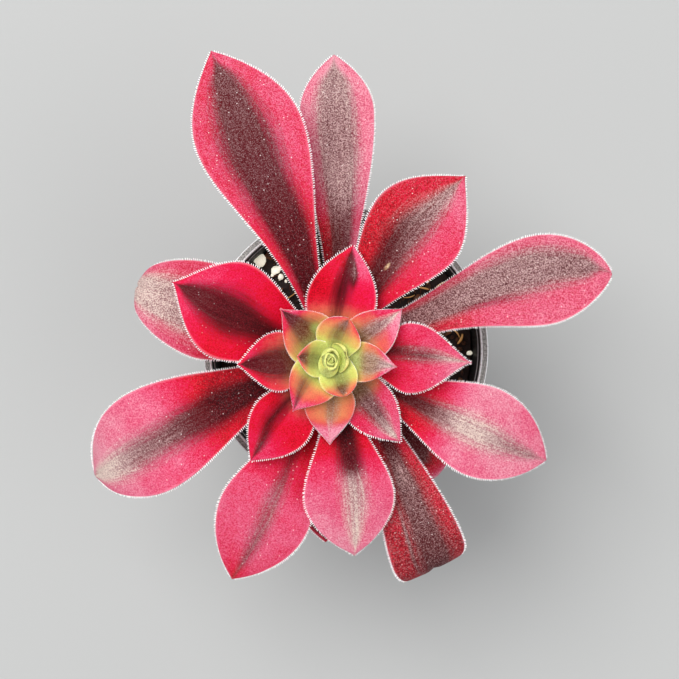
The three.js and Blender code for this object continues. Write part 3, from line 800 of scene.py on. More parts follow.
def leaf_material(settings):
    """Velvety leaf skin: a streaked stripe on red to pink with painted sheen, green where young, with
    dots of down and painted glints.
    """
    g = Graph("leaf_skin")
    place = g.place()
    grain = g.node("ShaderNodeUVMap", 0, {"uv_map": "grain"})
    coarse = g.noise(g.stretched(grain, (90.0, 4.5, 1.0)), 1.0, 3.0, 0.6)
    fine = g.noise(g.stretched(grain, (260.0, 14.0, 1.0)), 1.0, 2.0, 0.5)
    streak = g.blend(0.4, coarse, fine)
    cloud = g.noise(place, 130.0, 3.0)
    mottle = g.noise(place, 900.0, 3.0, 0.6)
    grit = g.steps(g.noise(place, 2800.0, 1.0), 0.32, 0.68)
    down = g.value("down")

    # Skin: from deep red to pink by pale, which also holds a painted sheen of the sky, dulled by
    # down, and orange to green by young
    pale = g.sway(g.sway(g.value("pale"), cloud, 0.4), mottle, 0.25)
    pale = g.sway(pale, grit, g.steps(down, 0.0, 0.8, 0.18, 0.36))
    skin = g.ramp(
        pale,
        (0.0, tuple(0.4 * v for v in settings.deep_colour)),
        (0.25, tuple(settings.deep_colour)),
        (0.5, tuple(settings.margin_colour)),
        (0.78, srgb(222, 90, 126)),
        (1.0, tuple(settings.pink_and_sheen_colour)),
    )
    dull = g.mix(pale, srgb(92, 34, 42), srgb(204, 138, 144))
    skin = g.mix(g.math("MULTIPLY", down, 0.28), skin, dull)
    young = g.sway(g.sway(g.value("young"), cloud, 0.3), mottle, 0.15)
    fresh = g.ramp(
        young,
        (0.15, srgb(212, 50, 68)),
        (0.32, srgb(220, 96, 78)),
        (0.5, srgb(220, 136, 88)),
        (0.7, srgb(212, 176, 92)),
        (0.86, srgb(206, 207, 104)),
        (1.0, tuple(settings.young_colour)),
    )
    skin = g.mix(g.steps(young, 0.05, 0.35), skin, fresh)

    # Stripe: from nearly black to cream by tone, browner and then olive by young
    tone = g.sway(g.sway(g.value("tone"), streak, g.steps(down, 0.3, 0.8, 0.75, 0.4)), mottle, 0.3)
    tone = g.sway(tone, grit, g.steps(down, 0.0, 0.8, 0.2, 0.38))
    band = g.ramp(
        tone,
        (0.0, srgb(38, 2, 6)),
        (0.2, tuple(settings.stripe_colour)),
        (0.4, srgb(84, 46, 46)),
        (0.6, srgb(134, 100, 99)),
        (0.8, srgb(180, 150, 146)),
        (1.0, srgb(222, 202, 188)),
    )
    brown = g.ramp(
        tone,
        (0.0, srgb(50, 16, 6)),
        (0.25, srgb(88, 42, 20)),
        (0.5, srgb(118, 90, 62)),
        (1.0, srgb(190, 160, 134)),
    )
    olive = g.ramp(
        tone,
        (0.0, srgb(54, 54, 22)),
        (0.5, srgb(110, 118, 66)),
        (1.0, srgb(184, 190, 126)),
    )
    band = g.mix(g.steps(young, 0.2, 0.7), band, g.mix(g.steps(young, 0.55, 0.95), brown, olive))
    edge = g.sway(g.value("stripe"), streak, 1.9)
    inside = g.steps(g.sway(edge, grit, 0.3), -1.0, 1.0)
    inside = g.math("MULTIPLY", inside, g.steps(g.value("young"), 0.5, 1.0, 0.95, 0.7))
    inside = g.math("MULTIPLY", inside, g.steps(g.value("upper"), 0.0, 1.0, 0.45, 1.0))
    colour = g.mix(inside, skin, band)

    # Pale margin, dark specks, dots of down, painted glints of light on the down and the dry scar
    fresh_rim = g.steps(g.value("young"), 0.15, 0.8)
    rim = g.steps(g.value("margin"), g.steps(fresh_rim, 0.0, 1.0, 0.78, 0.5), 1.0)
    rim = g.math("MULTIPLY", rim, g.steps(fresh_rim, 0.0, 1.0, 0.36, 0.7))
    colour = g.mix(rim, colour, g.mix(fresh_rim, srgb(250, 170, 188), srgb(240, 234, 142)))
    deep = g.math("MULTIPLY", g.steps(grit, 0.45, 0.05), g.steps(down, 0.0, 0.8, 0.18, 0.32))
    colour = g.mix(deep, colour, (0.35, 0.16, 0.2), "MULTIPLY")
    dots, chance = g.dots(place, 3300.0, 0.5)
    bright = g.math("MULTIPLY", dots, g.steps(chance, 0.2, 1.0, 0.0, 0.5))
    colour = g.mix(g.math("MULTIPLY", bright, down), colour, srgb(255, 212, 214))
    # Painted highlights: sparse near-white glints where the down catches the light
    painted_glint_dots, chance = g.dots(place, 900.0, 0.19)
    painted_glint = g.math("MULTIPLY", painted_glint_dots, g.steps(chance, 0.84, 0.86, 0.0, 0.8))
    painted_glint = g.math("MULTIPLY", painted_glint, g.steps(down, 0.0, 0.3, 0.15, 1.0))
    colour = g.mix(painted_glint, colour, srgb(255, 240, 236))
    scarred = g.steps(g.math("MULTIPLY", g.value("scar"), g.math("ADD", mottle, 0.5)), 0.25, 0.65)
    cork = g.mix(g.steps(mottle, 0.4, 0.6), srgb(156, 104, 74), srgb(216, 184, 146))
    colour = g.mix(scarred, colour, cork)

    rough = g.steps(mottle, 0.3, 0.8, 0.55, 0.75)
    normal = g.bump(dots, 0.00012, 0.5)
    normal = g.bump(mottle, 0.0003, 0.35, normal)
    normal = g.bump(fine, 0.0002, 0.3, normal)
    return g.surface(
        Base_Color=colour,
        Roughness=rough,
        Normal=normal,
        Sheen_Weight=0.03,
        Sheen_Roughness=0.5,
        Sheen_Tint=(1.0, 0.75, 0.82, 1.0),
        Specular_IOR_Level=0.07,
        Subsurface_Weight=0.04,
        Subsurface_Radius=(0.9, 0.2, 0.2),
        Subsurface_Scale=0.0015,
    )


def hair_material():
    """Pale bristles, pinker in places, with a little painted glow for the light that passes through
    them.
    """
    g = Graph("leaf_hair")
    tint = g.noise(g.place(), 260.0, 2.0)
    colour = g.mix(g.steps(tint, 0.45, 0.7), srgb(255, 252, 250), srgb(252, 220, 226))
    rough = g.steps(tint, 0.3, 0.7, 0.35, 0.55)
    return g.surface(
        Base_Color=colour,
        Roughness=rough,
        Subsurface_Weight=0.1,
        Subsurface_Scale=0.0006,
        # Painted glow that brightens the hairs
        Emission_Color=srgb(255, 244, 244),
        Emission_Strength=0.22,
    )


def pot_material(colour, wear):
    """Glossy black plastic: fine upright scuffs, dust, and painted light: a grey rim top that is a
    painted sky reflection with rubbed wear, painted highlights on its edges and the ledge, and glints
    on rings inside.
    """
    g = Graph("pot_plastic")
    place = g.place()
    scuffs = g.noise(g.stretched(place, (700.0, 700.0, 25.0)), 1.0, 4.0, 0.65)
    rings = g.noise(g.stretched(place, (60.0, 60.0, 1300.0)), 1.0, 3.0, 0.7)
    specks = g.noise(place, 2200.0, 3.0, 0.7)
    patches = g.noise(place, 60.0, 4.0, 0.6)
    dusty = g.math("MULTIPLY", g.steps(patches, 0.4, 0.75), g.steps(specks, 0.45, 0.7))
    # The rim's grey top: a painted reflection of the sky, broken by specks of rubbed wear
    sheen_and_rub = g.math("MULTIPLY", g.value("wear"), g.steps(specks, 0.43, 0.57, 0.3, 1.0))
    # Painted highlights: near-white lines along the rim's rounded edges and the ledge inside
    bright = g.math("MULTIPLY", g.value("edge"), g.steps(specks, 0.38, 0.46, 0.45, 1.0))
    # Rings on the inner wall: mould lines in the bump, with painted highlights in their colour
    glinting_rings = g.math("MULTIPLY", g.value("inner"), g.steps(rings, 0.58, 0.68, 0.0, 0.2))
    shade = g.mix(g.math("MULTIPLY", dusty, 0.35), colour, srgb(90, 86, 80))
    shade = g.mix(glinting_rings, shade, srgb(150, 150, 152))
    shade = g.mix(sheen_and_rub, shade, wear)
    shade = g.mix(bright, shade, srgb(250, 252, 252))
    rough = g.math("ADD", g.steps(scuffs, 0.35, 0.75, 0.16, 0.42), g.math("MULTIPLY", dusty, 0.25))
    rough = g.math("ADD", rough, g.math("MULTIPLY", sheen_and_rub, 0.18))
    rough = g.math("ADD", rough, g.math("MULTIPLY", g.value("inner"), 0.35))
    normal = g.bump(scuffs, 0.00006, 0.6)
    normal = g.bump(specks, 0.00004, 0.4, normal)
    normal = g.bump(glinting_rings, 0.0001, 0.5, normal)
    return g.surface(Base_Color=shade, Roughness=rough, Normal=normal, Specular_IOR_Level=0.5)


def crumb_material(name, dark, light, size, shine=0.85, glow=0.0):
    """Earth, grit or fibre: two colours mixed by noise, with a grainy bump.

    Glow is painted light that brightens pale porous grains and straws in shade, in place of the light
    that scatters inside them.
    """
    g = Graph(name)
    place = g.place()
    blend = g.noise(place, size, 4.0, 0.65)
    grit = g.noise(place, size * 6, 3.0, 0.7)
    colour = g.mix(g.steps(blend, 0.35, 0.68), dark, light)
    pitted = g.steps(grit, 0.6, 0.35, 0.0, 0.15 if glow else 0.5)
    colour = g.mix(pitted, colour, (0.01, 0.007, 0.005))
    rough = g.steps(grit, 0.3, 0.7, shine - 0.15, min(1.0, shine + 0.1))
    return g.surface(
        Base_Color=colour,
        Roughness=rough,
        Normal=g.bump(grit, 0.0003, 0.7),
        Emission_Color=light,
        Emission_Strength=glow,
    )


def stem_material(colour):
    """Dry bark: grey-brown, darker in the cracks, greener near the crown."""
    g = Graph("stem_bark")
    place = g.place()
    cracks = g.noise(g.stretched(place, (420.0, 420.0, 90.0)), 1.0, 5.0, 0.65)
    patches = g.noise(place, 120.0, 3.0)
    bark = g.mix(g.steps(patches, 0.35, 0.65), colour, srgb(150, 128, 104))
    bark = g.mix(g.steps(cracks, 0.5, 0.3, 0.0, 0.8), bark, srgb(48, 34, 26))
    bark = g.mix(g.value("fresh"), bark, srgb(142, 146, 84))
    bark = g.mix(g.value("scar"), bark, srgb(176, 152, 122))
    rough = g.steps(cracks, 0.3, 0.7, 0.9, 0.65)
    return g.surface(Base_Color=bark, Roughness=rough, Normal=g.bump(cracks, 0.0005, 0.8))


# Settings that a user would change


def length_setting(name, description, default, low, high):
    """A length setting, in metres as Blender keeps it, from values in millimetres."""
    return bpy.props.FloatProperty(
        name=name, description=description, default=default * MM, min=low * MM, max=high * MM,
        unit="LENGTH", precision=5,
    )


def colour_setting(name, description, default):
    """A colour setting, from a colour as seen, 0 to 255."""
    return bpy.props.FloatVectorProperty(
        name=name, description=description, default=srgb(*default), subtype="COLOR"
    )


def count_setting(name, description, default, high):
    """A whole number, from 0 to high."""
    return bpy.props.IntProperty(
        name=name, description=description, default=default, min=0, max=high
    )


class PotSettings(bpy.types.PropertyGroup):
    """Settings of the pot"""

    rim_width: length_setting("Rim width", "Width of the flat rim", 2.5, 1, 6)
    colour: colour_setting("Plastic", "Colour of the pot", (22, 23, 26))
    # The rim's grey top is a painted reflection of the sky, with rubbed wear
    sheen_and_wear_colour: colour_setting("Rubbed rim", "Colour of the worn rim", (172, 172, 166))


class SoilSettings(bpy.types.PropertyGroup):
    """Settings of the soil and what lies on it"""

    crumbs: count_setting("Crumbs", "Number of peat crumbs on the soil", 900, 2000)
    perlite: count_setting("Perlite grains", "Number of white grains", 44, 400)
    fibres: count_setting("Fibres", "Number of plant fibres", 260, 600)
    peat_colour: colour_setting("Peat", "Colour of the peat", (38, 19, 13))


class StemSettings(bpy.types.PropertyGroup):
    """Settings of the stem"""

    radius: length_setting("Radius", "Radius of the stem", 5, 2, 9)
    colour: colour_setting("Bark", "Colour of the bark", (112, 92, 76))


class LeafSettings(bpy.types.PropertyGroup):
    """Settings of the leaves, the heart and the fringe"""

    hair_length: length_setting("Hair length", "Length of the fringe's hairs", 0.75, 0.2, 3)
    hair_gap: length_setting("Hair gap", "Distance between the fringe's hairs", 0.64, 0.3, 4)
    wave: length_setting("Wave", "Height of the ripples in the margins", 0.3, 0, 2)
    deep_colour: colour_setting("Deep red", "Colour of the reddest skin", (210, 2, 32))
    margin_colour: colour_setting("Crimson", "Colour of the margins", (216, 20, 72))
    # The palest pink is partly the leaf's own and partly a painted sheen of the sky
    pink_and_sheen_colour: colour_setting("Pink", "Colour of the palest margins", (228, 148, 164))
    stripe_colour: colour_setting("Stripe", "Colour of the dark stripes", (80, 9, 16))
    young_colour: colour_setting("Young green", "Colour of the youngest leaves", (216, 224, 126))


class StageSettings(bpy.types.PropertyGroup):
    """Settings of the floor and the light"""

    floor_colour: colour_setting("Floor", "Colour of the floor", (186, 186, 184))
    light: bpy.props.FloatProperty(
        name="Light", description="Strength of the soft light", default=1.0, min=0, max=10
    )


def pot_profile(rim, bore, height):
    """The pot's section from its underside's middle, up its outside and down its inside."""
    foot, wall, floor = FOOT_RADIUS, 1.2, 2.4
    corners = [
        (0, 0), (9, 0), (10, 1.2), (25.5, 1.2), (26.5, 0), (30.2, 0), (foot, 1),
        (bore - 0.2, 66), (bore + 1.1, 68), (bore + wall, height - 2.6), (rim - 0.5, height - 2.6),
        (rim, height - 2.1), (rim, height - 0.3), (rim - 0.3, height), (rim - 0.65, height),
        (bore + 0.65, height), (bore + 0.3, height), (bore, height - 0.4),
        (bore - 0.1, height - 2.6), (bore - 0.5, height - 2.9), (bore - 0.7, height - 3.3),
        (bore - 1.3, 68.4), (bore - 1.4, 66.4), (foot - wall, floor), (0, floor),
    ]
    return refined(rounded(corners, 0.45, 5), 3.0)


def pot_cutters():
    """Upright rods for six drain holes, and level ones for six notches in the foot ring."""
    hole_radius, hole_ring = 3.6, 18.5
    notch_radius, notch_start, notch_level = 2.2, 26, -1
    hole = turned(np.array([(hole_radius, -2), (hole_radius, 5)]), 40)
    notch = turned(np.array([(notch_radius, 0), (notch_radius, 8)]), 24)[..., [2, 0, 1]]
    notch = notch + (notch_start, 0, notch_level)
    for k in range(6):
        turn = (k + 0.5) * math.pi / 3
        c, s = math.cos(turn), math.sin(turn)
        yield hole + (hole_ring * c, hole_ring * s, 0)
        yield notch @ np.array([[c, s, 0], [-s, c, 0], [0, 0, 1]])


class AEONIUM_OT_pot(bpy.types.Operator):
    """Build the pot: a turned wall with a flat rim, drain holes and a notched foot ring"""

    bl_idname = "aeonium.pot"
    bl_label = "Pot"

    def execute(self, context):
        settings = context.scene.aeonium_pot
        rim = POT_HIGH.x / MM
        height = POT_HIGH.z / MM
        bore = rim - settings.rim_width / MM
        points, quads, tris = closed_tube(turned(pot_profile(rim, bore, height), 168))
        out, level = np.hypot(points[:, 0], points[:, 1]), points[:, 2]
        # Painted sky reflection with wear on the rim's top, painted highlights on its edges and on
        # the ledge inside, and the inner wall
        wear = smoothstep(level, height - 1.2, height - 0.1)
        wear = wear * smoothstep(out, bore - 0.2, bore + 0.3)
        lip = np.minimum(rim - out, np.abs(out - bore - 0.2) - 0.1)
        edge = smoothstep(level, height - 0.5, height - 0.15) * smoothstep(lip, 0.5, 0.2)
        ledge = np.exp(-(((out - bore + 0.5) / 0.11) ** 2))
        ledge = ledge * smoothstep(level, height - 4, height - 3.2)
        edge = np.maximum(edge, 0.6 * ledge)
        slanted = FOOT_RADIUS + (bore - FOOT_RADIUS) * (level - 1) / 65 - 0.5
        outside = np.minimum(bore + 0.3, slanted)
        inner = smoothstep(out, outside, outside - 0.3) * smoothstep(level, 40, 60)
        material = pot_material(tuple(settings.colour), tuple(settings.sheen_and_wear_colour))
        pot = new_piece(
            "nursery_pot", points, quads, tris, material, wear=wear, edge=edge, inner=inner
        )
        for rod in pot_cutters():
            drill = new_piece("drill", *closed_tube(rod), material)
            cut = pot.modifiers.new("cut", "BOOLEAN")
            cut.object = drill
            cut.solver = "EXACT"
            context.view_layer.update()
            graph = context.evaluated_depsgraph_get()
            done = bpy.data.meshes.new_from_object(pot.evaluated_get(graph))
            if not done.polygons:
                raise RuntimeError("A hole could not be cut in the pot")
            pot.modifiers.remove(cut)
            pot.data = done
            bpy.data.objects.remove(drill)
        pot.data.name = "nursery_pot"
        settle(pot, "pot", "pot")
        return {"FINISHED"}


def soil_height(x, y):
    """Height of the soil: a slow swell and smaller lumps, as sines of the place."""
    swell = 0.9 * np.sin(x * 0.16 + 0.7) * np.cos(y * 0.13 - 0.4)
    lumps = 0.5 * np.sin(x * 0.51 + y * 0.23) * np.sin(y * 0.47 - x * 0.11 + 1.3)
    return SOIL_LEVEL + swell + lumps


def on_soil(x, y, lift):
    """Points over these places, by lift above the soil."""
    return np.stack([x, y, soil_height(x, y) + lift], -1)


def lump_pieces(centres, sizes, squash, seed, rows=4, columns=7, bumpy=0.35):
    """Irregular lumps: spheres of latitude rings whose radius varies with direction by noise."""
    tilt = np.linspace(0, math.pi, rows + 2)[1:-1]
    ball, quads, tris = closed_tube(turned(np.stack([np.sin(tilt), -np.cos(tilt)], -1), columns))
    ball[-2:] = [(0, 0, -1), (0, 0, 1)]
    random = np.random.default_rng(seed)
    count = len(centres)
    spin = random.uniform(0, 2 * math.pi, count)
    offset = random.uniform(0, 90, (count, 1, 3))
    radius = 1 + bumpy * rough_noise(ball[None] + offset, 1.4, seed, 2)
    shape = ball[None] * radius[..., None] * squash[:, None]
    tip = random.uniform(-0.6, 0.6, count)
    x, y, z = shape[..., 0], shape[..., 1], shape[..., 2]
    c, s = np.cos(tip)[:, None], np.sin(tip)[:, None]
    x, z = x * c - z * s, x * s + z * c
    c, s = np.cos(spin)[:, None], np.sin(spin)[:, None]
    shape = np.stack([x * c - y * s, x * s + y * c, z], -1)
    return many(shape * sizes[:, None, None] + centres[:, None], quads, tris)


def place_shown(arrays, rows):
    """Sets the first values of each array to a column of the rows, as far as the array goes."""
    for values, column in zip(arrays, zip(*rows)):
        shown = column[: len(values)]
        values[: len(shown)] = shown


def scattered(random, count, low, high):
    """Random places on the soil between two radii, spread evenly by area."""
    radius = np.sqrt(random.uniform(low**2, high**2, count))
    turn = random.uniform(0, 2 * math.pi, count)
    return radius * np.cos(turn), radius * np.sin(turn)


class AEONIUM_OT_soil(bpy.types.Operator):
    """Build the soil's body: it fills the pot to a rough, crumbly surface"""

    bl_idname = "aeonium.soil"
    bl_label = "Soil"

    def execute(self, context):
        settings = context.scene.aeonium_soil
        turn = full_turn(180)
        edge, foot, low = 40.75, 29.5, 2.7
        top = polar(edge * np.linspace(1, 0.004, 90)[:, None], turn, 0.0)
        x, y = top[..., 0], top[..., 1]
        height = soil_height(x, y) + 0.55 * rough_noise(top, 0.45, 5, 4)
        # The soil is heaped round the stem
        top[..., 2] = height + 1.2 * np.exp(-((np.hypot(x, y) - 5) / 3.0) ** 2)
        bottom = polar(foot, turn, low)
        centre = bottom * (0.01, 0.01, 1)
        rings = np.concatenate([centre[None], bottom[None], top])
        peat = tuple(settings.peat_colour)
        material = crumb_material("peat", peat, srgb(30, 18, 12), 420.0, 0.8)
        soil = new_piece("soil_body", *closed_tube(rings), material)
        settle(soil, "soil", "soil")
        return {"FINISHED"}


class AEONIUM_OT_grit(bpy.types.Operator):
    """Strew the soil with peat crumbs, perlite, bark chips and fibres"""

    bl_idname = "aeonium.grit"
    bl_label = "Crumbs and fibres"

    def execute(self, context):
        settings = context.scene.aeonium_soil
        random = np.random.default_rng(11)
        count = settings.crumbs
        x, y = scattered(random, count, 6, 40)
        size = 0.45 + 1.3 * random.uniform(0, 1, count) ** 3
        squash = random.uniform(0.6, 1.2, (count, 3))
        crumbs = lump_pieces(on_soil(x, y, 0.25 * size), size, squash, 21)
        peat = tuple(settings.peat_colour)
        material = crumb_material("peat_crumb", peat, srgb(112, 72, 46), 500.0)
        settle(new_piece("peat_crumbs", *crumbs, material, smooth=False), "soil")

        count = settings.perlite
        x, y = scattered(random, count, 27, 39.5)
        size = random.uniform(0.5, 1.7, count)
        # Other grains near those that show go over to the other side
        x[np.hypot(x + 24, y - 27) < 9] *= -1
        y[np.hypot(x + 9, y - 33) < 5] *= -1
        place_shown((x, y, size), SHOWN_GRAINS)
        squash = random.uniform(0.7, 1.2, (count, 3))
        grains = lump_pieces(on_soil(x, y, 0.6 * size), size, squash, 31, 7, 11, 0.45)
        white, cream = srgb(255, 254, 240), srgb(250, 246, 224)
        # The perlite's glow is painted light that brightens it in the shade of the pot and the leaves
        material = crumb_material("perlite", white, cream, 700.0, glow=0.55)
        settle(new_piece("perlite_grains", *grains, material), "soil")

        count = 60
        x, y = scattered(random, count, 8, 39)
        size = random.uniform(0.7, 2.4, count)
        # The chip beside the largest grain
        x[0], y[0], size[0] = -24.9, 30.1, 1.5
        long, wide = random.uniform(0.9, 1.6, count), random.uniform(0.4, 0.8, count)
        squash = np.stack([long, wide, 0 * x + 0.25], -1)
        chips = lump_pieces(on_soil(x, y, 0.3 * size), size, squash, 41, 3, 6, 0.4)
        material = crumb_material("bark_chip", srgb(134, 84, 44), srgb(86, 50, 28), 300.0, 0.7)
        settle(new_piece("bark_chips", *chips, material, smooth=False), "soil")

        # The straws' glow is painted light that brightens them in shade
        straw = crumb_material("straw", srgb(240, 206, 138), srgb(186, 128, 66), 260.0, 0.7, 0.28)
        settle(self.fibres("straws", random, 30, straw, SHOWN_STRAWS), "soil")
        root = crumb_material("peat_fibre", srgb(122, 66, 36), srgb(64, 26, 14), 260.0, 0.7)
        settle(self.fibres("peat_fibres", random, settings.fibres, root), "soil")
        return {"FINISHED"}

    def fibres(self, name, random, count, material, shown=()):
        """Thin bent tubes: a level arc through each place, that rises in the middle."""
        x, y = scattered(random, count, 8, 36)
        bearing = random.uniform(0, 2 * math.pi, count)
        length = random.uniform(3, 11, count)
        bend = random.uniform(-1.6, 1.6, count)
        stout = random.uniform(0.1, 0.26, count)
        place_shown((x, y, bearing, length, bend, stout), shown)
        bearing, length, bend = bearing[:, None], length[:, None], bend[:, None]
        share = np.linspace(-0.5, 0.5, 9)[None]
        turn = bearing + bend * share
        px = x[:, None] + length * share * np.cos(turn)
        py = y[:, None] + length * share * np.sin(turn)
        inside = np.minimum(1, 39.5 / np.hypot(px, py))
        px, py = px * inside, py * inside
        lift = 0.5 + random.uniform(0.2, 1.2, count)[:, None] * np.cos(math.pi * share)
        path = on_soil(px, py, lift)
        tangent = np.gradient(path, axis=1)
        tangent /= np.linalg.norm(tangent, axis=2, keepdims=True)
        side = np.cross(tangent, (0, 0, 1))
        side /= np.linalg.norm(side, axis=2, keepdims=True)
        over = np.cross(side, tangent)
        around = full_turn(5)[:, None]
        thick = stout[:, None, None, None] * (1.1 - np.abs(share))[..., None, None]
        ring = side[:, :, None] * np.sin(around) + over[:, :, None] * np.cos(around)
        return new_piece(name, *many(*alike(path[:, :, None] + ring * thick)), material)


class AEONIUM_OT_stem(bpy.types.Operator):
    """Build the woody stem with the scars of fallen leaves"""

    bl_idname = "aeonium.stem"
    bl_label = "Stem"

    def execute(self, context):
        settings = context.scene.aeonium_stem
        height = np.linspace(STEM_FOOT, STEM_TOP, 220)
        turn = full_turn(80)
        narrows, scars, first_scar, scar_step = 108, 46, 66, 1.05
        scar_half_width, scar_half_height = 2.3, 1.25
        above = np.clip((height - narrows) / (STEM_TOP - narrows), 0, 1)
        below = smoothstep(height, STEM_FOOT, STEM_FOOT + 14)
        girth = settings.radius / MM
        radius = girth * (0.72 + 0.28 * below) * (1 - 0.45 * above**1.6)
        radius = radius[:, None] + 0 * turn
        relief = 0 * radius
        scar = 0 * radius
        # Scars wind up the stem: each is a raised lip round a shallow oval
        for k in range(scars):
            bearing = math.radians(-GOLDEN_ANGLE * k)
            aside = ((turn - bearing + math.pi) % (2 * math.pi) - math.pi) * girth
            over = height[:, None] - (first_scar + scar_step * k)
            far = np.sqrt((aside / scar_half_width) ** 2 + (over / scar_half_height) ** 2)
            relief += 0.34 * np.exp(-(((far - 1) / 0.33) ** 2)) - 0.16 * np.exp(-((far / 0.6) ** 2))
            scar = np.maximum(scar, np.exp(-((far / 0.75) ** 4)))
        place = polar(radius, turn, height[:, None])
        bark = 0.16 * rough_noise(place * (1, 1, 0.45), 0.8, 3, 4)
        bare = smoothstep(height, SOIL_LEVEL - 2, SOIL_LEVEL + 2)[:, None]
        radius = radius + (relief * 0.8 + bark) * bare
        rings = polar(radius, turn, 0) + stem_axis(height)[:, None]
        fresh = smoothstep(height, 98, 118)[:, None] + 0 * radius
        ends = [0, 0]
        material = stem_material(tuple(settings.colour))
        stem = new_piece(
            "woody_stem",
            *closed_tube(rings),
            material,
            fresh=np.concatenate([fresh.ravel(), ends]),
            scar=np.concatenate([(scar * bare * 0.6).ravel(), ends]),
        )
        settle(stem, "stem", "stem")
        return {"FINISHED"}


class AEONIUM_OT_leaves(bpy.types.Operator):
    """Build the leaves of the lower, outer, middle and inner rings"""

    bl_idname = "aeonium.leaves"
    bl_label = "Leaves"

    def execute(self, context):
        settings = context.scene.aeonium_leaves
        material = leaf_material(settings)
        for number, name in enumerate(SHAPES):
            leaf = leaf_of(name)
            ring = name.split("_")[0]
            rows, columns = (100, 60) if leaf["width"] > 17 else (64, 48)
            start = stem_axis(leaf["seat"])
            wave = settings.wave / MM * leaf["width"] / FULL_WIDTH
            *mesh, values, grain = leaf_piece_data(leaf, start, rows, columns, wave, number + 1)
            piece = new_piece(name + "_blade", *mesh, material, uv=grain, **values)
            settle(piece, ring + "_leaves", name)
        return {"FINISHED"}


def furled_leaf(number):
    """One leaf of the heart as a patch of an egg, closed over its middle.

    Along it, the radius is the widest radius times the sine of an angle that runs from the foot to
    where the leaf closes; the height follows one minus the cosine. Across it, the bearing spreads
    to each side, less towards the rim as a half ellipse. The egg is narrower from left to right,
    and leans back to the heart's middle. The tip folds in by a Gauss bell across the rim.
    """
    bearing, wide, close, top, spread, young, right, up, curl = FURLED[number]
    along = np.linspace(0, 1, 36)
    turn = full_turn(56)
    u = along[:, None]
    across = np.cos(turn)[None]
    first_angle, last_angle = 0.35, math.radians(close)
    angle = first_angle + (last_angle - first_angle) * u
    foot = 128.2 if number else 126.0
    share = 0.3 + 0.7 * np.sqrt(1 - np.clip((u - 0.45) / 0.56, 0, 1) ** 2.2)
    swing = np.radians(bearing + spread * share * across)
    thick = 0.2 + 0.38 * (1 - across**2) * (1 - 0.4 * u)
    thick = thick * np.abs(np.sin(turn)[None]) ** 0.5 * smoothstep(1.03 - u, 0, 0.08)
    layer = np.where(np.sin(turn)[None] >= 0, 0.5, -0.5) * thick
    narrow = 1 - 0.22 * across**2
    radius = (wide * np.sin(angle) * narrow + layer * np.sin(angle)) + 0.12 * np.abs(across) ** 3
    radius = radius - curl * np.exp(-((across / 0.3) ** 2)) * smoothstep(u, 0.72, 1.0)
    rise = (1 - np.cos(angle)) / (1 - math.cos(last_angle))
    height = foot + (top - foot) * rise - layer * np.cos(angle) - 0.5 * across**2 * u
    rings = np.stack([0.84 * radius * np.cos(swing), 1.03 * radius * np.sin(swing), height], -1)
    lean = smoothstep(u, 0.6, 1.0)[..., None]
    rings[..., :2] += CROWN[:2] + (right, up) * (1 - lean) + np.array([0, -0.2]) * lean
    # A dark olive band in the middle of each furled leaf is painted shade below the rims of the
    # leaves round it; the second leaf's band is narrower
    dark = 0.25 if number == 1 else 0.8
    look = (
        (-0.4, 0.4, 0.9, 0.8, 0.8, 1, 0),
        (dark, -dark, 0.62, 0.8, 0.8, 1, 0),
        (0.4, -0.4, 0.6, 0.8, 0.8, young, 0),
    )
    values = leaf_values(dict(zip(MARKING_FIELDS, zip(*look))), along, turn)
    values["margin"] = with_ends(np.maximum(np.abs(across) ** 4, smoothstep(u, 0.88, 1.0)))
    return *closed_tube(rings), values, grain_map(across * wide, u * 7)


def growing_point():
    """A small dome in the heart's middle: a turned half ellipse."""
    lift = np.linspace(0, 0.5 * math.pi, 8)
    dome = np.stack([0.02 + 3.0 * np.cos(lift), 126 + 4.2 * np.sin(lift)], -1)
    profile = np.concatenate([[[0.02, 125.5]], dome])
    rings = turned(profile, 24)
    rings[..., :2] += CROWN[:2]
    points, quads, tris = closed_tube(rings)
    look = dict(stripe=-4, tone=1, young=1, down=0, pale=1, upper=1, margin=0, scar=0)
    values = {key: np.full(len(points), float(value)) for key, value in look.items()}
    return points, quads, tris, values, points[:, :2] * 0.01 + 0.5


class AEONIUM_OT_heart(bpy.types.Operator):
    """Build the furled heart: leaves in a spiral that cup and close over the middle"""

    bl_idname = "aeonium.heart"
    bl_label = "Heart"

    def execute(self, context):
        parts = [furled_leaf(number) for number in range(len(FURLED))]
        parts.append(growing_point())
        offsets = np.cumsum([0] + [len(part[0]) for part in parts[:-1]])
        points = np.concatenate([part[0] for part in parts])
        quads = np.concatenate([part[1] + step for part, step in zip(parts, offsets)])
        tris = np.concatenate([part[2] + step for part, step in zip(parts, offsets)])
        values = {key: np.concatenate([part[3][key] for part in parts]) for key in parts[0][3]}
        grain = np.concatenate([part[4] for part in parts])
        material = bpy.data.materials.get("leaf_skin")
        material = material or leaf_material(context.scene.aeonium_leaves)
        heart = new_piece("furled_heart", points, quads, tris, material, uv=grain, **values)
        settle(heart, "heart", "heart")
        return {"FINISHED"}


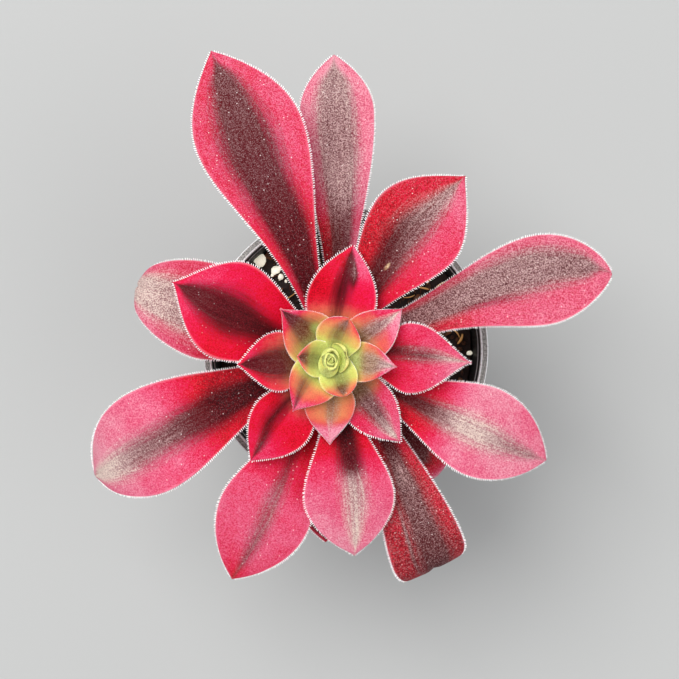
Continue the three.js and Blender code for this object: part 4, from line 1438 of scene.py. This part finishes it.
def fringe(leaf, start, length, gap, seed, stout):
    """Hairs round a leaf's margin, as (hairs, points, 3), and one hair's faces.

    Each is a cone on the margin that points outward, towards the tip and a little up, and bends.
    """
    fine = np.linspace(0.08, 0.995, 600)
    centre, side, normal, _ = leaf_frame(leaf, start, fine)
    half = half_width(leaf, fine)
    random = np.random.default_rng(seed)
    roots, outs = [], []
    for hand in (1, -1):
        margin = centre + side * (hand * half)[:, None] + normal * (leaf["cup"] * half)[:, None]
        run = run_of(margin)
        stops = np.arange(0, run[-1], gap)
        stops = stops + random.uniform(-0.16, 0.16, len(stops)) * gap
        forward = np.gradient(margin, axis=0)
        forward /= np.linalg.norm(forward, axis=1, keepdims=True)
        out = np.cross(normal, forward) * hand
        root, forward, out, upward = (
            sampled(stops, run, rows) for rows in (margin, forward, out, normal)
        )
        jitter = random.normal(0, 0.1, (len(stops), 3))
        aim = out + 0.35 * forward + 0.12 * upward + jitter
        roots.append(root - 0.15 * out)
        outs.append(aim / np.linalg.norm(aim, axis=1, keepdims=True))
    root, aim = np.concatenate(roots), np.concatenate(outs)
    count = len(root)
    long = length * random.uniform(0.8, 1.1, count)[:, None, None]
    across = np.cross(aim, (0.3, 0.2, 1.0))
    across /= np.linalg.norm(across, axis=1, keepdims=True)
    third = np.cross(aim, across)
    turn = full_turn(4)[:, None]
    ring = across[:, None] * np.cos(turn) + third[:, None] * np.sin(turn)
    levels = []
    droop = np.array([0, 0, -0.08])
    for share, thick in ((0.0, 0.14), (0.6, 0.12), (0.97, 0.09)):
        middle = root[:, None] + aim[:, None] * long * share + droop * share**2 * length
        levels.append(middle + ring * thick * stout)
    return alike(np.stack(levels, 1))


class AEONIUM_OT_fringe(bpy.types.Operator):
    """Set the fringe of pale hairs on every leaf's margin"""

    bl_idname = "aeonium.fringe"
    bl_label = "Fringe"

    def execute(self, context):
        settings = context.scene.aeonium_leaves
        material = hair_material()
        for ring in ("lower", "outer", "middle", "inner"):
            groups = []
            for number, name in enumerate(SHAPES):
                if not name.startswith(ring):
                    continue
                leaf = leaf_of(name)
                young = 0.45 if ring == "inner" else 1.0
                long = settings.hair_length / MM * young * (0.7 if leaf["reach"] < 20 else 1.0)
                gap = settings.hair_gap / MM * max(young, 0.5)
                groups.append(fringe(leaf, stem_axis(leaf["seat"]), long, gap, 200 + number, young))
            points = np.concatenate([hairs[0] for hairs in groups])
            _, quads, tris = groups[0]
            piece = new_piece(ring + "_fringe", *many(points, quads, tris), material)
            settle(piece, ring + "_leaves")
        return {"FINISHED"}


class AEONIUM_OT_stage(bpy.types.Operator):
    """Set up the pale floor, the soft light and the camera that looks straight down"""

    bl_idname = "aeonium.stage"
    bl_label = "Floor, light and camera"

    def execute(self, context):
        settings = context.scene.aeonium_stage
        g = Graph("floor_paint")
        tone = g.noise(g.place(), 4.0, 2.0)
        colour = tuple(settings.floor_colour)
        shade = tuple(0.97 * v for v in colour)
        g.surface(Base_Color=g.mix(tone, colour, shade), Roughness=0.9)
        reach = 6000.0
        square = reach * np.array([(-1, -1, 0), (1, -1, 0), (1, 1, 0), (-1, 1, 0)])
        no_tris = np.zeros((0, 3), int)
        floor = new_piece("floor", square, np.array([[0, 1, 2, 3]]), no_tris, g.material)

        world = context.scene.world or bpy.data.worlds.new("sky")
        context.scene.world = world
        world.use_nodes = True
        sky = world.node_tree.nodes["Background"]
        sky.inputs["Color"].default_value = (0.93, 0.96, 1.0, 1)
        sky.inputs["Strength"].default_value = 0.55 * settings.light
        self.lamp("window", (-0.45, 0.45, 1.35), 0.9, 18.5 * settings.light)
        self.lamp("fill", (0.9, -0.4, 1.1), 1.2, 5 * settings.light)

        camera = bpy.data.cameras.new("camera")
        camera.lens = 67.2
        camera.sensor_width = 36
        camera.clip_start = 0.01
        eye = bpy.data.objects.new("camera", camera)
        eye.location = (-0.00205, 0.00332, 0.48)
        context.scene.collection.objects.link(eye)
        context.scene.camera = eye
        context.scene.view_settings.view_transform = "Standard"
        context.scene.view_settings.look = "None"
        return {"FINISHED"}

    def lamp(self, name, place, size, power):
        """A square area light that faces a point 0.1 m over the origin."""
        light = bpy.data.lights.new(name, "AREA")
        light.energy = power
        light.size = size
        lamp = bpy.data.objects.new(name, light)
        lamp.location = place
        back = np.array(place) - (0, 0, 0.1)
        back = back / np.linalg.norm(back)
        lamp.rotation_euler = (math.acos(back[2]), 0, math.atan2(back[0], -back[1]))
        bpy.context.scene.collection.objects.link(lamp)


class VIEW3D_PT_aeonium(bpy.types.Panel):
    """Lists the pieces of the potted aeonium and their settings"""

    bl_label = "Potted aeonium"
    bl_category = "Aeonium"
    bl_space_type = "VIEW_3D"
    bl_region_type = "UI"

    def draw(self, context):
        for operator in OPERATORS:
            self.layout.operator(operator.bl_idname)
        for name in SETTINGS:
            group = getattr(context.scene, name)
            box = self.layout.box()
            for key in group.__annotations__:
                box.prop(group, key)


OPERATORS = (
    AEONIUM_OT_stage,
    AEONIUM_OT_pot,
    AEONIUM_OT_soil,
    AEONIUM_OT_grit,
    AEONIUM_OT_stem,
    AEONIUM_OT_leaves,
    AEONIUM_OT_heart,
    AEONIUM_OT_fringe,
)
SETTINGS = {
    "aeonium_pot": PotSettings,
    "aeonium_soil": SoilSettings,
    "aeonium_stem": StemSettings,
    "aeonium_leaves": LeafSettings,
    "aeonium_stage": StageSettings,
}
CLASSES = (*SETTINGS.values(), *OPERATORS, VIEW3D_PT_aeonium)


def register():
    """Adds the add-on's classes, and its settings to the scene."""
    for cls in CLASSES:
        bpy.utils.register_class(cls)
    for name, group in SETTINGS.items():
        setattr(bpy.types.Scene, name, bpy.props.PointerProperty(type=group))


def unregister():
    """Takes away what register has added."""
    for name in SETTINGS:
        delattr(bpy.types.Scene, name)
    for cls in reversed(CLASSES):
        bpy.utils.unregister_class(cls)


def main():
    """Builds every piece."""
    register()
    bpy.ops.aeonium.stage()
    bpy.ops.aeonium.pot()
    bpy.ops.aeonium.soil()
    bpy.ops.aeonium.grit()
    bpy.ops.aeonium.stem()
    bpy.ops.aeonium.leaves()
    bpy.ops.aeonium.heart()
    bpy.ops.aeonium.fringe()


if __name__ == "__main__":
    main()
